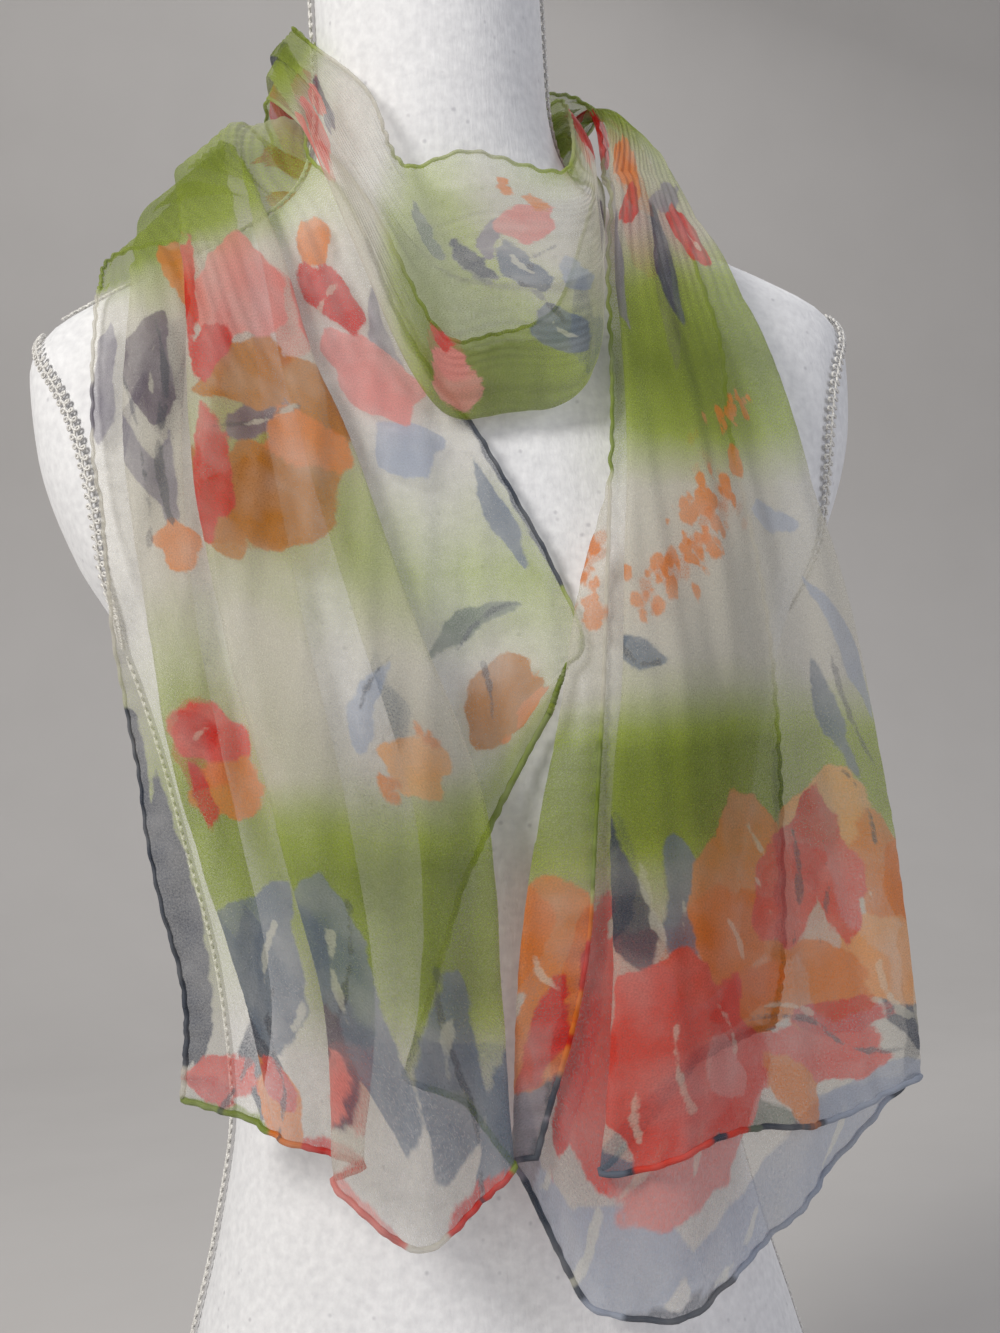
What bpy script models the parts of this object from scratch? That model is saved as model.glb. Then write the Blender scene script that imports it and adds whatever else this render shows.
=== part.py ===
"""A chiffon scarf wound round the neck of a limbless dress form, in metres, +Z up.

The origin is the middle of the form's flat underside. The wearer's front faces -Y, and left and
right are those of someone who looks at that front.
"""

import bpy
import numpy as np

# ---------------------------------------------------------------- driving sizes
CLOTH = 0.0012  # wall of the scarf
PITCH = 0.0034  # from one layer of cloth to the next, middle to middle
GAP = 0.0003  # between pieces that touch
REST = 0.0028  # from the form to the middle of a wall that lies on it
OVER_BRAID = 0.0048  # the same where a braid lies between
FOLD_ROUND = 0.007  # length of cloth that each fold bends over

FORM_HEIGHT = 0.800
NECK_EDGE = 0.006
FORM_SIDES = 44
FINE_POINTS = 500  # along a folded line, before its corners are rounded
BRAID_WIDTH = 0.0075
BRAID_HEIGHT = 0.0020

NECK_RADIUS = 0.054
SIDE_REACH = 0.105  # a hanging tail follows the bust to here and then runs on flatter
SIDE_SLOPE = 0.40
# The strip behind the neck. The inner band runs from the front loop's right end to the left tail, and
# the outer one from the loop's left end, over the inner, to the right tail. One row for each place:
# its angle (0 is the right side, 90 the back, 180 the left), and how far from the neck's middle and
# how high the strip's lower and upper edges are.
INNER_BAND = [
    # angle low_r  high_r  low    high
    (140, 0.094, 0.062, 0.662, 0.704),
    (90, 0.068, 0.060, 0.650, 0.706),
    (42, 0.066, 0.060, 0.660, 0.708),
    (3, 0.0700, 0.0610, 0.676, 0.714),
]
OUTER_BAND = [
    # angle low_r  high_r  low    high
    (178, 0.077, 0.060, 0.716, 0.748),
    (138, 0.086, 0.064, 0.694, 0.754),
    (90, 0.088, 0.066, 0.680, 0.752),
    (46, 0.093, 0.076, 0.674, 0.734),
]

# One row for each section of the form, from the underside up: height, half of the width,
# depth in front of and behind the middle, and how square the section is (2 is an ellipse).
FORM_SECTIONS = np.array([
    # z      half   front  back   square
    (0.000, 0.166, 0.116, 0.124, 2.15),
    (0.060, 0.162, 0.115, 0.124, 2.15),
    (0.125, 0.145, 0.107, 0.113, 2.15),
    (0.190, 0.127, 0.096, 0.098, 2.20),
    (0.250, 0.117, 0.089, 0.086, 2.20),
    (0.310, 0.121, 0.093, 0.086, 2.20),
    (0.370, 0.133, 0.103, 0.091, 2.25),
    (0.420, 0.144, 0.107, 0.095, 2.30),
    (0.465, 0.158, 0.102, 0.097, 2.50),
    (0.500, 0.177, 0.094, 0.096, 2.80),
    (0.550, 0.192, 0.081, 0.090, 2.90),
    (0.585, 0.194, 0.069, 0.081, 2.80),
    (0.606, 0.184, 0.061, 0.073, 2.60),
    (0.622, 0.157, 0.057, 0.068, 2.40),
    (0.637, 0.124, 0.055, 0.064, 2.20),
    (0.652, 0.092, 0.0545, 0.060, 2.10),
    (0.668, 0.069, 0.054, 0.057, 2.00),
    (0.690, 0.0570, 0.054, 0.055, 2.00),
    (0.715, 0.0540, 0.054, 0.054, 2.00),
    (0.800, 0.0535, 0.0535, 0.0535, 2.00),
])
BUST = dict(x=0.074, z=0.418, across=0.052, up=0.060, rise=0.026)
RING_HEIGHTS = np.concatenate([
    np.linspace(0.0, 0.470, 15),
    np.linspace(0.492, 0.600, 7),
    np.linspace(0.611, 0.700, 9),
    np.linspace(0.725, FORM_HEIGHT - NECK_EDGE, 3),
])

# The scarf is one strip. Eleven lines run along all of it, from its lower selvedge to its upper one,
# and each is a fold or a place between folds. The tables give one row to each line. "into" and "out"
# are the layers of cloth, counted from the form, on which the strip reaches the line and leaves it,
# so a line with two values is a fold.
LEFT_TAIL = [
    # line          into  out  crest   z60     z54     z46     z38     z31    hem_x   hem_z
    ("selvedge",    0.0, 0.0, -0.150, -0.158, -0.160, -0.157, -0.148, -0.137, -0.140, 0.266),
    ("outer_turn",  0.0, 1.0, -0.116, -0.120, -0.124, -0.121, -0.110, -0.100, -0.108, 0.257),
    ("outer_pleat", 1.0, 2.0, -0.132, -0.142, -0.146, -0.141, -0.128, -0.111, -0.100, 0.252),
    ("inner_turn",  1.0, 2.0, -0.094, -0.092, -0.088, -0.078, -0.066, -0.060, -0.068, 0.243),
    ("front_pleat", 2.2, 3.3, -0.112, -0.118, -0.118, -0.109, -0.093, -0.080, -0.080, 0.237),
    ("front_belly", 3.2, 3.2, -0.099, -0.096, -0.086, -0.070, -0.050, -0.044, -0.046, 0.202),
    ("front_edge",  3.0, 1.9, -0.086, -0.071, -0.053, -0.033, -0.010, -0.008, -0.007, 0.234),
    ("behind",      1.6, 1.6, -0.085, -0.080, -0.064, -0.046, -0.026, -0.026, -0.026, 0.266),
    ("hidden_turn", 1.1, 0.0, -0.088, -0.084, -0.074, -0.058, -0.040, -0.042, -0.050, 0.276),
    ("inner_belly", 0.0, 0.0, -0.070, -0.060, -0.034, -0.010, -0.011, -0.016, -0.022, 0.352),
    ("inner_edge",  0.0, 0.0, -0.056, -0.030,  0.002,  0.034,  0.026,  0.022,  0.018, 0.423),
]
RIGHT_TAIL = [
    # line          into  out  crest   z60     z54     z46     z38     z31    hem_x   hem_z
    ("selvedge",    1.0, 1.0,  0.082,  0.108,  0.108,  0.116,  0.120,  0.116,  0.110, 0.280),
    ("third",       1.0, 1.0,  0.078,  0.092,  0.084,  0.082,  0.080,  0.074,  0.068, 0.275),
    ("front_edge",  1.0, 2.2,  0.075,  0.065,  0.060,  0.048,  0.039,  0.037,  0.028, 0.226),
    ("pale_fold",   2.2, 2.2,  0.079,  0.092,  0.096,  0.106,  0.100,  0.094,  0.080, 0.242),
    ("front_belly", 2.2, 2.2,  0.083,  0.108,  0.116,  0.134,  0.142,  0.144,  0.134, 0.232),
    ("outer_edge",  2.2, 0.0,  0.088,  0.123,  0.137,  0.158,  0.174,  0.184,  0.186, 0.248),
    ("back_outer",  0.0, 0.0,  0.084,  0.112,  0.115,  0.124,  0.130,  0.132,  0.122, 0.196),
    ("back_belly",  0.0, 0.0,  0.080,  0.092,  0.088,  0.082,  0.078,  0.072,  0.062, 0.164),
    ("back_inner",  0.0, 0.0,  0.077,  0.074,  0.068,  0.050,  0.036,  0.028,  0.022, 0.168),
    ("strip_edge",  0.0, 1.0,  0.074,  0.063,  0.056,  0.029,  0.011, -0.001, -0.007, 0.240),
    ("strip_hem",   1.0, 1.0,  0.073,  0.062,  0.054,  0.042,  0.034,  0.025,  0.003, 0.237),
]
TAIL_HEIGHTS = (0.600, 0.540, 0.460, 0.380, 0.310)
CREST = dict(x=0.078, y=0.000, z=0.708, fall=0.90, inner_fall=-0.50)
# Layers that each station lies over, from the crest to the hem: the right tail lies on the front loop
# and then on the left tail's inner edge.
LEFT_LIFTS = (0.2, 0.0, 0.0, 0.3, 0.1, 0.0, 0.0)
RIGHT_LIFTS = (0.6, 1.6, 1.7, 1.5, 0.8, 0.4, 0.3)

# The front loop at four places on its way from the right of the neck to the left: position across,
# height, and how far the cloth stands in front of the form.
FRONT_LOOP = [
    # line          into  out  rf_x   rf_z   rf_out  c_x    c_z    c_out  l2_x    l2_z   l2_out  lf_x    lf_z   lf_out
    ("low_hem",     0.0, 0.0, 0.044, 0.606, 0.006, 0.010, 0.590, 0.004, -0.014, 0.594, 0.007, -0.042, 0.656, 0.014),
    ("inside_low",  0.0, 0.0, 0.047, 0.592, 0.006, 0.010, 0.572, 0.004, -0.016, 0.580, 0.007, -0.045, 0.648, 0.014),
    ("low_fold",    0.0, 1.0, 0.052, 0.573, 0.007, 0.010, 0.553, 0.005, -0.021, 0.561, 0.008, -0.050, 0.639, 0.015),
    ("swag_low",    1.0, 1.0, 0.056, 0.582, 0.013, 0.010, 0.566, 0.013, -0.019, 0.580, 0.014, -0.048, 0.648, 0.017),
    ("swag_mid",    1.0, 1.0, 0.058, 0.600, 0.019, 0.010, 0.586, 0.024, -0.018, 0.602, 0.020, -0.046, 0.658, 0.018),
    ("swag_fold",   1.0, 2.0, 0.059, 0.618, 0.022, 0.010, 0.608, 0.031, -0.018, 0.622, 0.022, -0.044, 0.668, 0.018),
    ("hollow",      1.6, 1.6, 0.059, 0.632, 0.019, 0.010, 0.628, 0.027, -0.019, 0.636, 0.019, -0.042, 0.677, 0.017),
    ("upper_fold",  1.6, 1.6, 0.058, 0.645, 0.017, 0.009, 0.644, 0.024, -0.020, 0.647, 0.017, -0.040, 0.685, 0.015),
    ("collar_low",  1.2, 1.2, 0.057, 0.655, 0.013, 0.008, 0.656, 0.018, -0.021, 0.656, 0.014, -0.038, 0.692, 0.014),
    ("collar_high", 1.0, 1.0, 0.055, 0.662, 0.010, 0.007, 0.665, 0.013, -0.022, 0.663, 0.012, -0.037, 0.698, 0.013),
    ("top_hem",     0.8, 0.8, 0.052, 0.668, 0.008, 0.006, 0.673, 0.010, -0.023, 0.668, 0.011, -0.036, 0.704, 0.012),
]
# How the strip is gathered on its way round behind the neck: a share of the band's height.
GATHERED = [
    # line    into  out  share
    ("low",   0.0, 0.0, 0.00),
    ("1",     0.0, 0.0, 0.26),
    ("2",     0.0, 0.8, 0.50),
    ("3",     0.8, 1.6, 0.30),
    ("4",     1.4, 1.4, 0.44),
    ("5",     1.1, 1.1, 0.58),
    ("6",     0.8, 1.6, 0.80),
    ("7",     1.6, 2.4, 0.62),
    ("8",     2.0, 2.0, 0.75),
    ("9",     1.4, 1.4, 0.88),
    ("high",  0.8, 0.8, 1.00),
]

# The stretches that show, each with its stations and the rows of the solid between them. Rows lie
# closer where a tail bends over the shoulder.
LEFT_CREST, RIGHT_CREST = 6.0, 19.0
STRETCHES = {
    "scarf_left_tail": ((0.0, 5.0, 11), (5.0, 7.0, 10)),
    "scarf_inner_band": ((7.0, 10.0, 8),),
    "scarf_front_loop": ((10.0, 11.5, 8), (11.5, 15.3, 11)),
    "scarf_outer_band": ((15.3, 18.0, 7),),
    "scarf_right_tail": ((18.0, 20.0, 10), (20.0, 25.0, 11)),
}
SEAM = 0.5 * GAP + 0.0003  # each stretch ends this short of the place where it meets the next
NEAR_SEAM = 0.06  # and has one more row this near, in stations, so that the ends face each other


# ---------------------------------------------------------------- the form's surface
def smooth_columns(table, places):
    """The table's columns at these places of its first column, along a curve with no overshoot."""
    keys, values = table[:, 0], table[:, 1:]
    steps = np.diff(keys)
    rises = np.diff(values, axis=0) / steps[:, None]
    slopes = np.vstack([rises[:1], 0.5 * (rises[:-1] + rises[1:]), rises[-1:]])
    least = np.minimum(np.abs(rises[:-1]), np.abs(rises[1:])) * 2.0
    slopes[1:-1] = np.where(
        rises[:-1] * rises[1:] > 0, np.clip(slopes[1:-1], -least, least), 0.0
    )
    places = np.clip(places, keys[0], keys[-1])
    index = np.clip(np.searchsorted(keys, places) - 1, 0, len(steps) - 1)
    span = steps[index][..., None]
    u = (places - keys[index])[..., None] / span
    return (
        (2 * u**3 - 3 * u**2 + 1) * values[index]
        + (u**3 - 2 * u**2 + u) * span * slopes[index]
        + (3 * u**2 - 2 * u**3) * values[index + 1]
        + (u**3 - u**2) * span * slopes[index + 1]
    )


def bust_rise(x, z):
    return BUST["rise"] * np.exp(
        -(((np.abs(x) - BUST["x"]) / BUST["across"]) ** 2)
        - ((z - BUST["z"]) / BUST["up"]) ** 2
    )


def form_front(x, z):
    """Where the form's front is at this place across and height (a negative Y)."""
    half, front, _, square = np.moveaxis(smooth_columns(FORM_SECTIONS, np.asarray(z, float)), -1, 0)
    share = np.clip(1 - (np.abs(x) / half) ** square, 0.0, 1.0)
    return -front * share ** (1 / square) - bust_rise(x, z) * np.sqrt(share)


def outside_form(points):
    """How far each point lies outside the form, to within a few per cent near its surface."""
    x, y, z = np.moveaxis(points, -1, 0)
    half, front, back, square = np.moveaxis(smooth_columns(FORM_SECTIONS, z), -1, 0)
    depth = np.where(y < 0, front + bust_rise(x, z), back)
    size = ((np.abs(x) / half) ** square + (np.abs(y) / depth) ** square) ** (1 / square)
    return (size - 1) * np.hypot(x, y) / np.maximum(size, 1e-6)


def outward(points):
    """The direction straight out of the form at each point."""
    step = 0.0005
    slope = np.stack([
        outside_form(points + offset) - outside_form(points - offset)
        for offset in step * np.eye(3)
    ], axis=-1)
    return slope / np.maximum(np.linalg.norm(slope, axis=-1, keepdims=True), 1e-9)


def kept_outside(points, clearance):
    """The points, moved straight out of the form until each is at least this clear of it."""
    for _ in range(6):
        normal = outward(points)
        step = 0.0005
        rate = (outside_form(points + step * normal) - outside_form(points)) / step
        short = clearance - outside_form(points) / np.maximum(rate, 0.2)
        points = points + normal * np.maximum(short, 0.0)[..., None]
    return points


# ---------------------------------------------------------------- the scarf's surface
def columns(table, *names_at):
    return [np.array([row[i] for row in table], float) for i in names_at]


def round_neck(row, share):
    """The lines' places on a band behind the neck, each at its share of the band's height."""
    angle, low_radius, high_radius, low, high = row
    turn = np.radians(angle)
    radius = low_radius + share * (high_radius - low_radius)
    height = low + share * (high - low)
    return np.stack([radius * np.cos(turn), radius * np.sin(turn), height], axis=-1)


def hanging(x, z):
    """A place on cloth that hangs in front, which falls straight from the fullest part above it."""
    side = np.clip(x, -SIDE_REACH, SIDE_REACH)
    heights = np.maximum(z[:, None], np.linspace(0.40, 0.62, 12))
    fullest = np.minimum(form_front(side[:, None], heights).min(axis=1), form_front(side, z))
    return np.stack([x, fullest + SIDE_SLOPE * (np.abs(x) - np.abs(side)), z], axis=-1)


def tail_stations(table, lifts):
    """A tail's stations from its crest, free above the shoulder, down to its hem."""
    into, out, crest, *across, hem_x, hem_z = columns(table, *range(1, 11))
    fall = np.where(np.abs(crest) > CREST["x"], CREST["fall"], CREST["inner_fall"])
    height = CREST["z"] - fall * (np.abs(crest) - CREST["x"])
    places = [np.stack([crest, np.full_like(crest, CREST["y"]), height], axis=-1)]
    for x, height in zip(across, TAIL_HEIGHTS):
        # A line whose hem is higher than this station keeps the last of its length for it.
        left_over = 0.12 * (height - TAIL_HEIGHTS[-1]) + 0.010
        places.append(hanging(x, np.maximum(height, hem_z + left_over)))
    places.append(hanging(hem_x, hem_z))
    return [(place, into + lift, out + lift) for place, lift in zip(places, lifts)]


def scarf_stations():
    """Every station of the strip: a place for each line, and its two layers."""
    into, out, share = columns(GATHERED, 1, 2, 3)
    inner = [(round_neck(row, share), into, out) for row in INNER_BAND]
    outer = [(round_neck(row, share), into, out) for row in OUTER_BAND]
    into, out, *places = columns(FRONT_LOOP, *range(1, 15))
    loop = []
    for x, z, stand in (places[0:3], places[3:6], places[6:9], places[9:12]):
        y = form_front(np.clip(x, -0.05, 0.05), z) - stand
        loop.append((np.stack([x, y, z], axis=-1), into, out))
    left = tail_stations(LEFT_TAIL, LEFT_LIFTS)[::-1]
    return left + inner + loop + outer + tail_stations(RIGHT_TAIL, RIGHT_LIFTS)


def along(values, place):
    """The values of the stations, at a place between them, on a smooth curve."""
    last = len(values) - 1
    i = int(np.clip(np.floor(place), 0, last - 1))
    u = place - i
    p1, p2 = values[i], values[i + 1]
    p0 = values[i - 1] if i > 0 else 2 * p1 - p2
    p3 = values[i + 2] if i + 2 <= last else 2 * p2 - p1
    return 0.5 * (
        2 * p1 + (p2 - p0) * u + (2 * p0 - 5 * p1 + 4 * p2 - p3) * u**2
        + (3 * p1 - p0 - 3 * p2 + p3) * u**3
    )


def in_front(points):
    """Which way layers stack at each point: out of the form at the neck, forwards where they hang."""
    sideways = np.clip(points[..., 0] / 0.30, -0.5, 0.5)
    forwards = np.stack([sideways, -np.ones_like(sideways), 0 * sideways], axis=-1)
    forwards /= np.linalg.norm(forwards, axis=-1, keepdims=True)
    hangs = np.clip((0.655 - points[..., 2]) / 0.06, 0, 1) * (points[..., 1] < -0.02)
    mixed = outward(points) * (1 - hangs[..., None]) + forwards * hangs[..., None]
    return mixed / np.linalg.norm(mixed, axis=-1, keepdims=True)


def section(stations, place, samples):
    """The strip's cross-section at a place along it: a folded line with every fold rounded."""
    base = along([s[0] for s in stations], place)
    into = along([s[1] for s in stations], place)
    out = along([s[2] for s in stations], place)
    rest = REST + (OVER_BRAID - REST) * np.clip((base[:, 2] - 0.57) / 0.04, 0, 1)
    normal = in_front(base)
    first = kept_outside(base, rest)
    hangs = place < LEFT_CREST or place > RIGHT_CREST
    repeats = np.array([1] + [2] * (len(base) - 2) + [1])
    levels = np.stack([into, out], axis=1).ravel()[1:-1]
    corners = np.repeat(first, repeats, axis=0) + np.repeat(normal, repeats, axis=0) * levels[:, None] * PITCH
    steps = np.linalg.norm(np.diff(corners, axis=0), axis=1)
    reach = np.concatenate([[0], np.cumsum(steps)])
    fine = np.linspace(0, reach[-1], FINE_POINTS)
    line = np.stack([np.interp(fine, reach, corners[:, k]) for k in range(3)], axis=-1)
    layer = np.interp(fine, reach, levels)
    if hangs:
        flat = np.stack([np.interp(fine, reach, np.repeat(base[:, k], repeats)) for k in range(3)], axis=-1)
        flat = hanging(flat[:, 0], flat[:, 2])
        flat = flat + in_front(flat) * (REST + layer * PITCH)[:, None]
        line = line + (flat - line) * (np.clip((0.625 - line[:, 2]) / 0.05, 0, 1))[:, None]
    window = max(3, int(FOLD_ROUND / (reach[-1] / (FINE_POINTS - 1))) | 1)  # an odd count
    kernel = np.hanning(window + 2)[1:-1]
    kernel /= kernel.sum()
    padded = np.concatenate([
        2 * line[:1] - line[window // 2:0:-1], line, 2 * line[-1:] - line[-2:-window // 2 - 1:-1]
    ])
    line = np.stack([np.convolve(padded[:, k], kernel, mode="valid") for k in range(3)], axis=-1)
    clear = REST + (OVER_BRAID - REST) * np.clip((line[:, 2] - 0.57) / 0.04, 0, 1) + layer * PITCH * 0.8
    line = kept_outside(line, clear)
    wanted = samples(reach)
    return np.stack([np.interp(wanted, fine, line[:, k]) for k in range(3)], axis=-1)


def coarse(reach):
    """Places across the strip for the solid: both sides of each fold, and the middle of each panel."""
    half_turn = 0.4 * FOLD_ROUND
    wanted = [0.0]
    ends = [0.0] + [0.5 * (reach[i] + reach[i + 1]) for i in range(1, len(reach) - 1, 2)] + [reach[-1]]
    for first, second in zip(ends[:-1], ends[1:]):
        near = min(half_turn, 0.3 * (second - first))
        if first > 0:
            wanted.append(first + near)
        wanted.append(0.5 * (first + second))
        if second < reach[-1]:
            wanted.append(second - near)
    wanted.append(reach[-1])
    return np.array(wanted)


# ---------------------------------------------------------------- making objects
def clear_scene():
    for obj in list(bpy.data.objects):
        bpy.data.objects.remove(obj, do_unlink=True)


def material(name, colour, roughness, metallic=0.0):
    made = bpy.data.materials.new(name)
    made.use_nodes = True
    shader = made.node_tree.nodes["Principled BSDF"]
    shader.inputs["Base Color"].default_value = (*colour, 1)
    shader.inputs["Roughness"].default_value = roughness
    shader.inputs["Metallic"].default_value = metallic
    made.diffuse_color = (*colour, 1)
    return made


def mesh_object(name, points, faces, paint):
    mesh = bpy.data.meshes.new(name)
    mesh.from_pydata([tuple(p) for p in points], [], faces)
    mesh.materials.append(paint)
    mesh.validate()
    mesh.update()
    mesh.shade_smooth()
    obj = bpy.data.objects.new(name, mesh)
    bpy.context.scene.collection.objects.link(obj)
    return obj


def grid_faces(rows, count, closed):
    """Quads between neighbouring rows of points, each row with this many points."""
    across = range(count if closed else count - 1)
    return [
        (r * count + c, r * count + (c + 1) % count, (r + 1) * count + (c + 1) % count, (r + 1) * count + c)
        for r in range(rows - 1)
        for c in across
    ]


def form_ring(height, shrink=0.0):
    """The form's outline at a height, as points round it."""
    half, front, back, square = smooth_columns(FORM_SECTIONS, np.array(height))
    turn = np.linspace(0, 2 * np.pi, FORM_SIDES, endpoint=False)
    c, s = np.cos(turn), np.sin(turn)
    x = np.sign(c) * np.abs(c) ** (2 / square)
    y = np.sign(s) * np.abs(s) ** (2 / square)
    depth = np.where(s < 0, front, back)
    points = np.stack([half * x, depth * y, np.full_like(x, height)], axis=-1)
    points[:, 1] -= np.where(s < 0, bust_rise(points[:, 0], height) * np.sqrt(np.abs(y)), 0.0)
    points[:, :2] *= 1 - shrink
    return points


def make_form(paint):
    rings = [form_ring(0.0, 0.02)] + [form_ring(max(h, 0.003)) for h in RING_HEIGHTS]
    for turn in (30, 60, 90):
        a = np.radians(turn)
        shrink = NECK_EDGE * (1 - np.cos(a)) / NECK_RADIUS
        rings.append(form_ring(FORM_HEIGHT - NECK_EDGE * (1 - np.sin(a)), shrink))
    faces = grid_faces(len(rings), FORM_SIDES, closed=True)
    last = (len(rings) - 1) * FORM_SIDES
    faces.append(tuple(reversed(range(FORM_SIDES))))
    faces.append(tuple(range(last, last + FORM_SIDES)))
    return mesh_object("form_body", np.concatenate(rings), faces, paint)


def strip_of_braid(name, route, paint, closed=False):
    """A flat braid laid on the form along a route of points on its surface."""
    normal = outward(route)
    ahead = np.roll(route, -1, axis=0) - np.roll(route, 1, axis=0)
    if not closed:
        ahead[0] = route[1] - route[0]
        ahead[-1] = route[-1] - route[-2]
    sideways = np.cross(ahead, normal)
    sideways /= np.linalg.norm(sideways, axis=1, keepdims=True)
    low, high, half = 4 * GAP, 4 * GAP + BRAID_HEIGHT, BRAID_WIDTH / 2
    profile = [(-half, low), (half, low), (0.7 * half, high), (-0.7 * half, high)]
    rings = []
    for k in range(len(route)):
        rings.append([route[k] + sideways[k] * a + normal[k] * b for a, b in profile])
    points = np.array(rings)
    lowest = np.array([0, 1])
    points[:, lowest] = kept_outside(points[:, lowest], np.full(points[:, lowest].shape[:2], low))
    if closed:
        points = np.concatenate([points, points[:1]])
    faces = grid_faces(len(points), len(profile), closed=True)
    if closed:
        count = len(route) * len(profile)
        faces = [tuple(i % count for i in face) for face in faces]
        points = points[:-1]
    else:
        end = (len(points) - 1) * len(profile)
        faces.append(tuple(reversed(range(len(profile)))))
        faces.append(tuple(range(end, end + len(profile))))
    return mesh_object(name, points.reshape(-1, 3), [tuple(reversed(f)) for f in faces], paint)


def on_side(y, z, side):
    """The place on the form's side with this depth and height."""
    half, front, back, square = smooth_columns(FORM_SECTIONS, np.array(z))
    depth = front if y < 0 else back
    return np.array([side * half * (1 - min(abs(y) / depth, 1) ** square) ** (1 / square), y, z])


ARMHOLE = dict(y=0.000, z=0.533, deep=0.056, tall=0.070)


def make_braids(paint):
    for word, side in (("left", -1), ("right", 1)):
        down = [on_side(0.0, z, side) for z in np.linspace(FORM_HEIGHT - 0.010, 0.612, 16)]
        strip_of_braid(f"braid_shoulder_{word}", np.array(down), paint)
        turns = np.linspace(0, 2 * np.pi, 30, endpoint=False)
        ring = [
            on_side(
                ARMHOLE["y"] + ARMHOLE["deep"] * np.sin(a) * (1 - 0.12 * np.cos(a)),
                ARMHOLE["z"] + ARMHOLE["tall"] * np.cos(a),
                side,
            )
            for a in turns
        ]
        strip_of_braid(f"braid_armhole_{word}", np.array(ring), paint, closed=True)
        seam = [on_side(0.0, z, side) for z in np.linspace(0.456, 0.004, 14)]
        strip_of_braid(f"braid_side_{word}", np.array(seam), paint)


def make_scarf(paint):
    stations = scarf_stations()
    for name, runs in STRETCHES.items():
        start, end = runs[0][0], runs[-1][1]
        places = [np.linspace(*run) for run in runs] + [[start + NEAR_SEAM, end - NEAR_SEAM]]
        places = np.unique(np.concatenate(places))
        points = np.array([section(stations, place, coarse) for place in places])
        for row, near in ((0, 1), (-1, -2)):
            ahead = points[near] - points[row]
            points[row] += ahead * (SEAM / np.linalg.norm(ahead, axis=1, keepdims=True))
        count = points.shape[1]
        faces = grid_faces(len(points), count, closed=False)
        obj = mesh_object(name, points.reshape(-1, 3), faces, paint)
        wall = obj.modifiers.new("Wall", "SOLIDIFY")
        wall.thickness = CLOTH
        wall.offset = 0.0


def main():
    clear_scene()
    make_form(material("white_jersey", (0.80, 0.79, 0.77), 0.9))
    make_braids(material("gimp_braid", (0.70, 0.70, 0.68), 0.55))
    make_scarf(material("chiffon", (0.55, 0.62, 0.22), 0.7))


main()
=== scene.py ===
"""A chiffon scarf wound round the neck of a limbless dress form: its cloth, print, trims and finishes.

All lengths are in metres in the frame of the solids, +Z up, with the wearer's front towards -Y.
"""

import bmesh
import bpy
import numpy as np
from mathutils import Matrix


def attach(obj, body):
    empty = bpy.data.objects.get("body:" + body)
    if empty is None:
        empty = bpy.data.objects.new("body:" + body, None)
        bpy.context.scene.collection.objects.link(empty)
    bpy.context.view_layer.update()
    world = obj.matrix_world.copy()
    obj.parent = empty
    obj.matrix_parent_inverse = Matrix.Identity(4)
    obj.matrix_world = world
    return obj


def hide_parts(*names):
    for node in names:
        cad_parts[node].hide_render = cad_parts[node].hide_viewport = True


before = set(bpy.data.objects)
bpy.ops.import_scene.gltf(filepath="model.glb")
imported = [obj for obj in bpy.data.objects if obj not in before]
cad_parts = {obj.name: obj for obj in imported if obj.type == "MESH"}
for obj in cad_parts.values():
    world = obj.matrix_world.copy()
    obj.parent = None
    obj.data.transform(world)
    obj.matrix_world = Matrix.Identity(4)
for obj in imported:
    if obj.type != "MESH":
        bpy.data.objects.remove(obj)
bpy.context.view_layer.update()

# ---------------------------------------------------------------- the camera
CAMERA_PLACE = (-0.142, -0.970, 0.450)
CAMERA_YAW, CAMERA_PITCH, CAMERA_ROLL = np.radians((9.41, -0.43, -2.96))
CAMERA_LENS = 55.4
CAMERA_FRAME = 36.0


def make_camera():
    """A camera turned to the right by its yaw, then tipped by its pitch and rolled about its own axis."""
    data = bpy.data.cameras.new("camera")
    data.sensor_fit = "VERTICAL"
    data.sensor_height = CAMERA_FRAME
    data.lens = CAMERA_LENS
    data.clip_start = 0.01
    ahead = np.array([
        np.sin(CAMERA_YAW) * np.cos(CAMERA_PITCH),
        np.cos(CAMERA_YAW) * np.cos(CAMERA_PITCH),
        np.sin(CAMERA_PITCH),
    ])
    level = np.cross(ahead, (0, 0, 1))
    level /= np.linalg.norm(level)
    above = np.cross(level, ahead)
    right = np.cos(CAMERA_ROLL) * level + np.sin(CAMERA_ROLL) * above
    up = np.cos(CAMERA_ROLL) * above - np.sin(CAMERA_ROLL) * level
    camera = bpy.data.objects.new("camera", data)
    turned = Matrix.Identity(4)
    for row in range(3):
        turned[row][0], turned[row][1], turned[row][2] = right[row], up[row], -ahead[row]
        turned[row][3] = CAMERA_PLACE[row]
    camera.matrix_world = turned
    bpy.context.scene.collection.objects.link(camera)
    bpy.context.scene.camera = camera


make_camera()

# ---------------------------------------------------------------- the solids' sizes, as the part has them
PITCH = 0.0034  # from one layer of cloth to the next, middle to middle
GAP = 0.0003  # between pieces that touch
REST = 0.0028  # from the form to the middle of a wall that lies on it
OVER_BRAID = 0.0048  # the same where a braid lies between
FOLD_ROUND = 0.007  # length of cloth that each fold bends over
HEM_ROUND = 0.055  # length of a tail's end hem over which each of its corners is rounded
FINE = 400  # points on a cross-section before it is spread into columns
LEFT_CREST, RIGHT_CREST = 6.0, 19.0  # stations on top of the shoulders

FORM_HEIGHT = 0.800
NECK_EDGE = 0.006
BRAID_WIDTH = 0.0075
BRAID_HEIGHT = 0.0020

NECK_RADIUS = 0.054
SIDE_REACH = 0.105  # a hanging tail follows the bust to here and then runs on flatter
SIDE_SLOPE = 0.40
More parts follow.
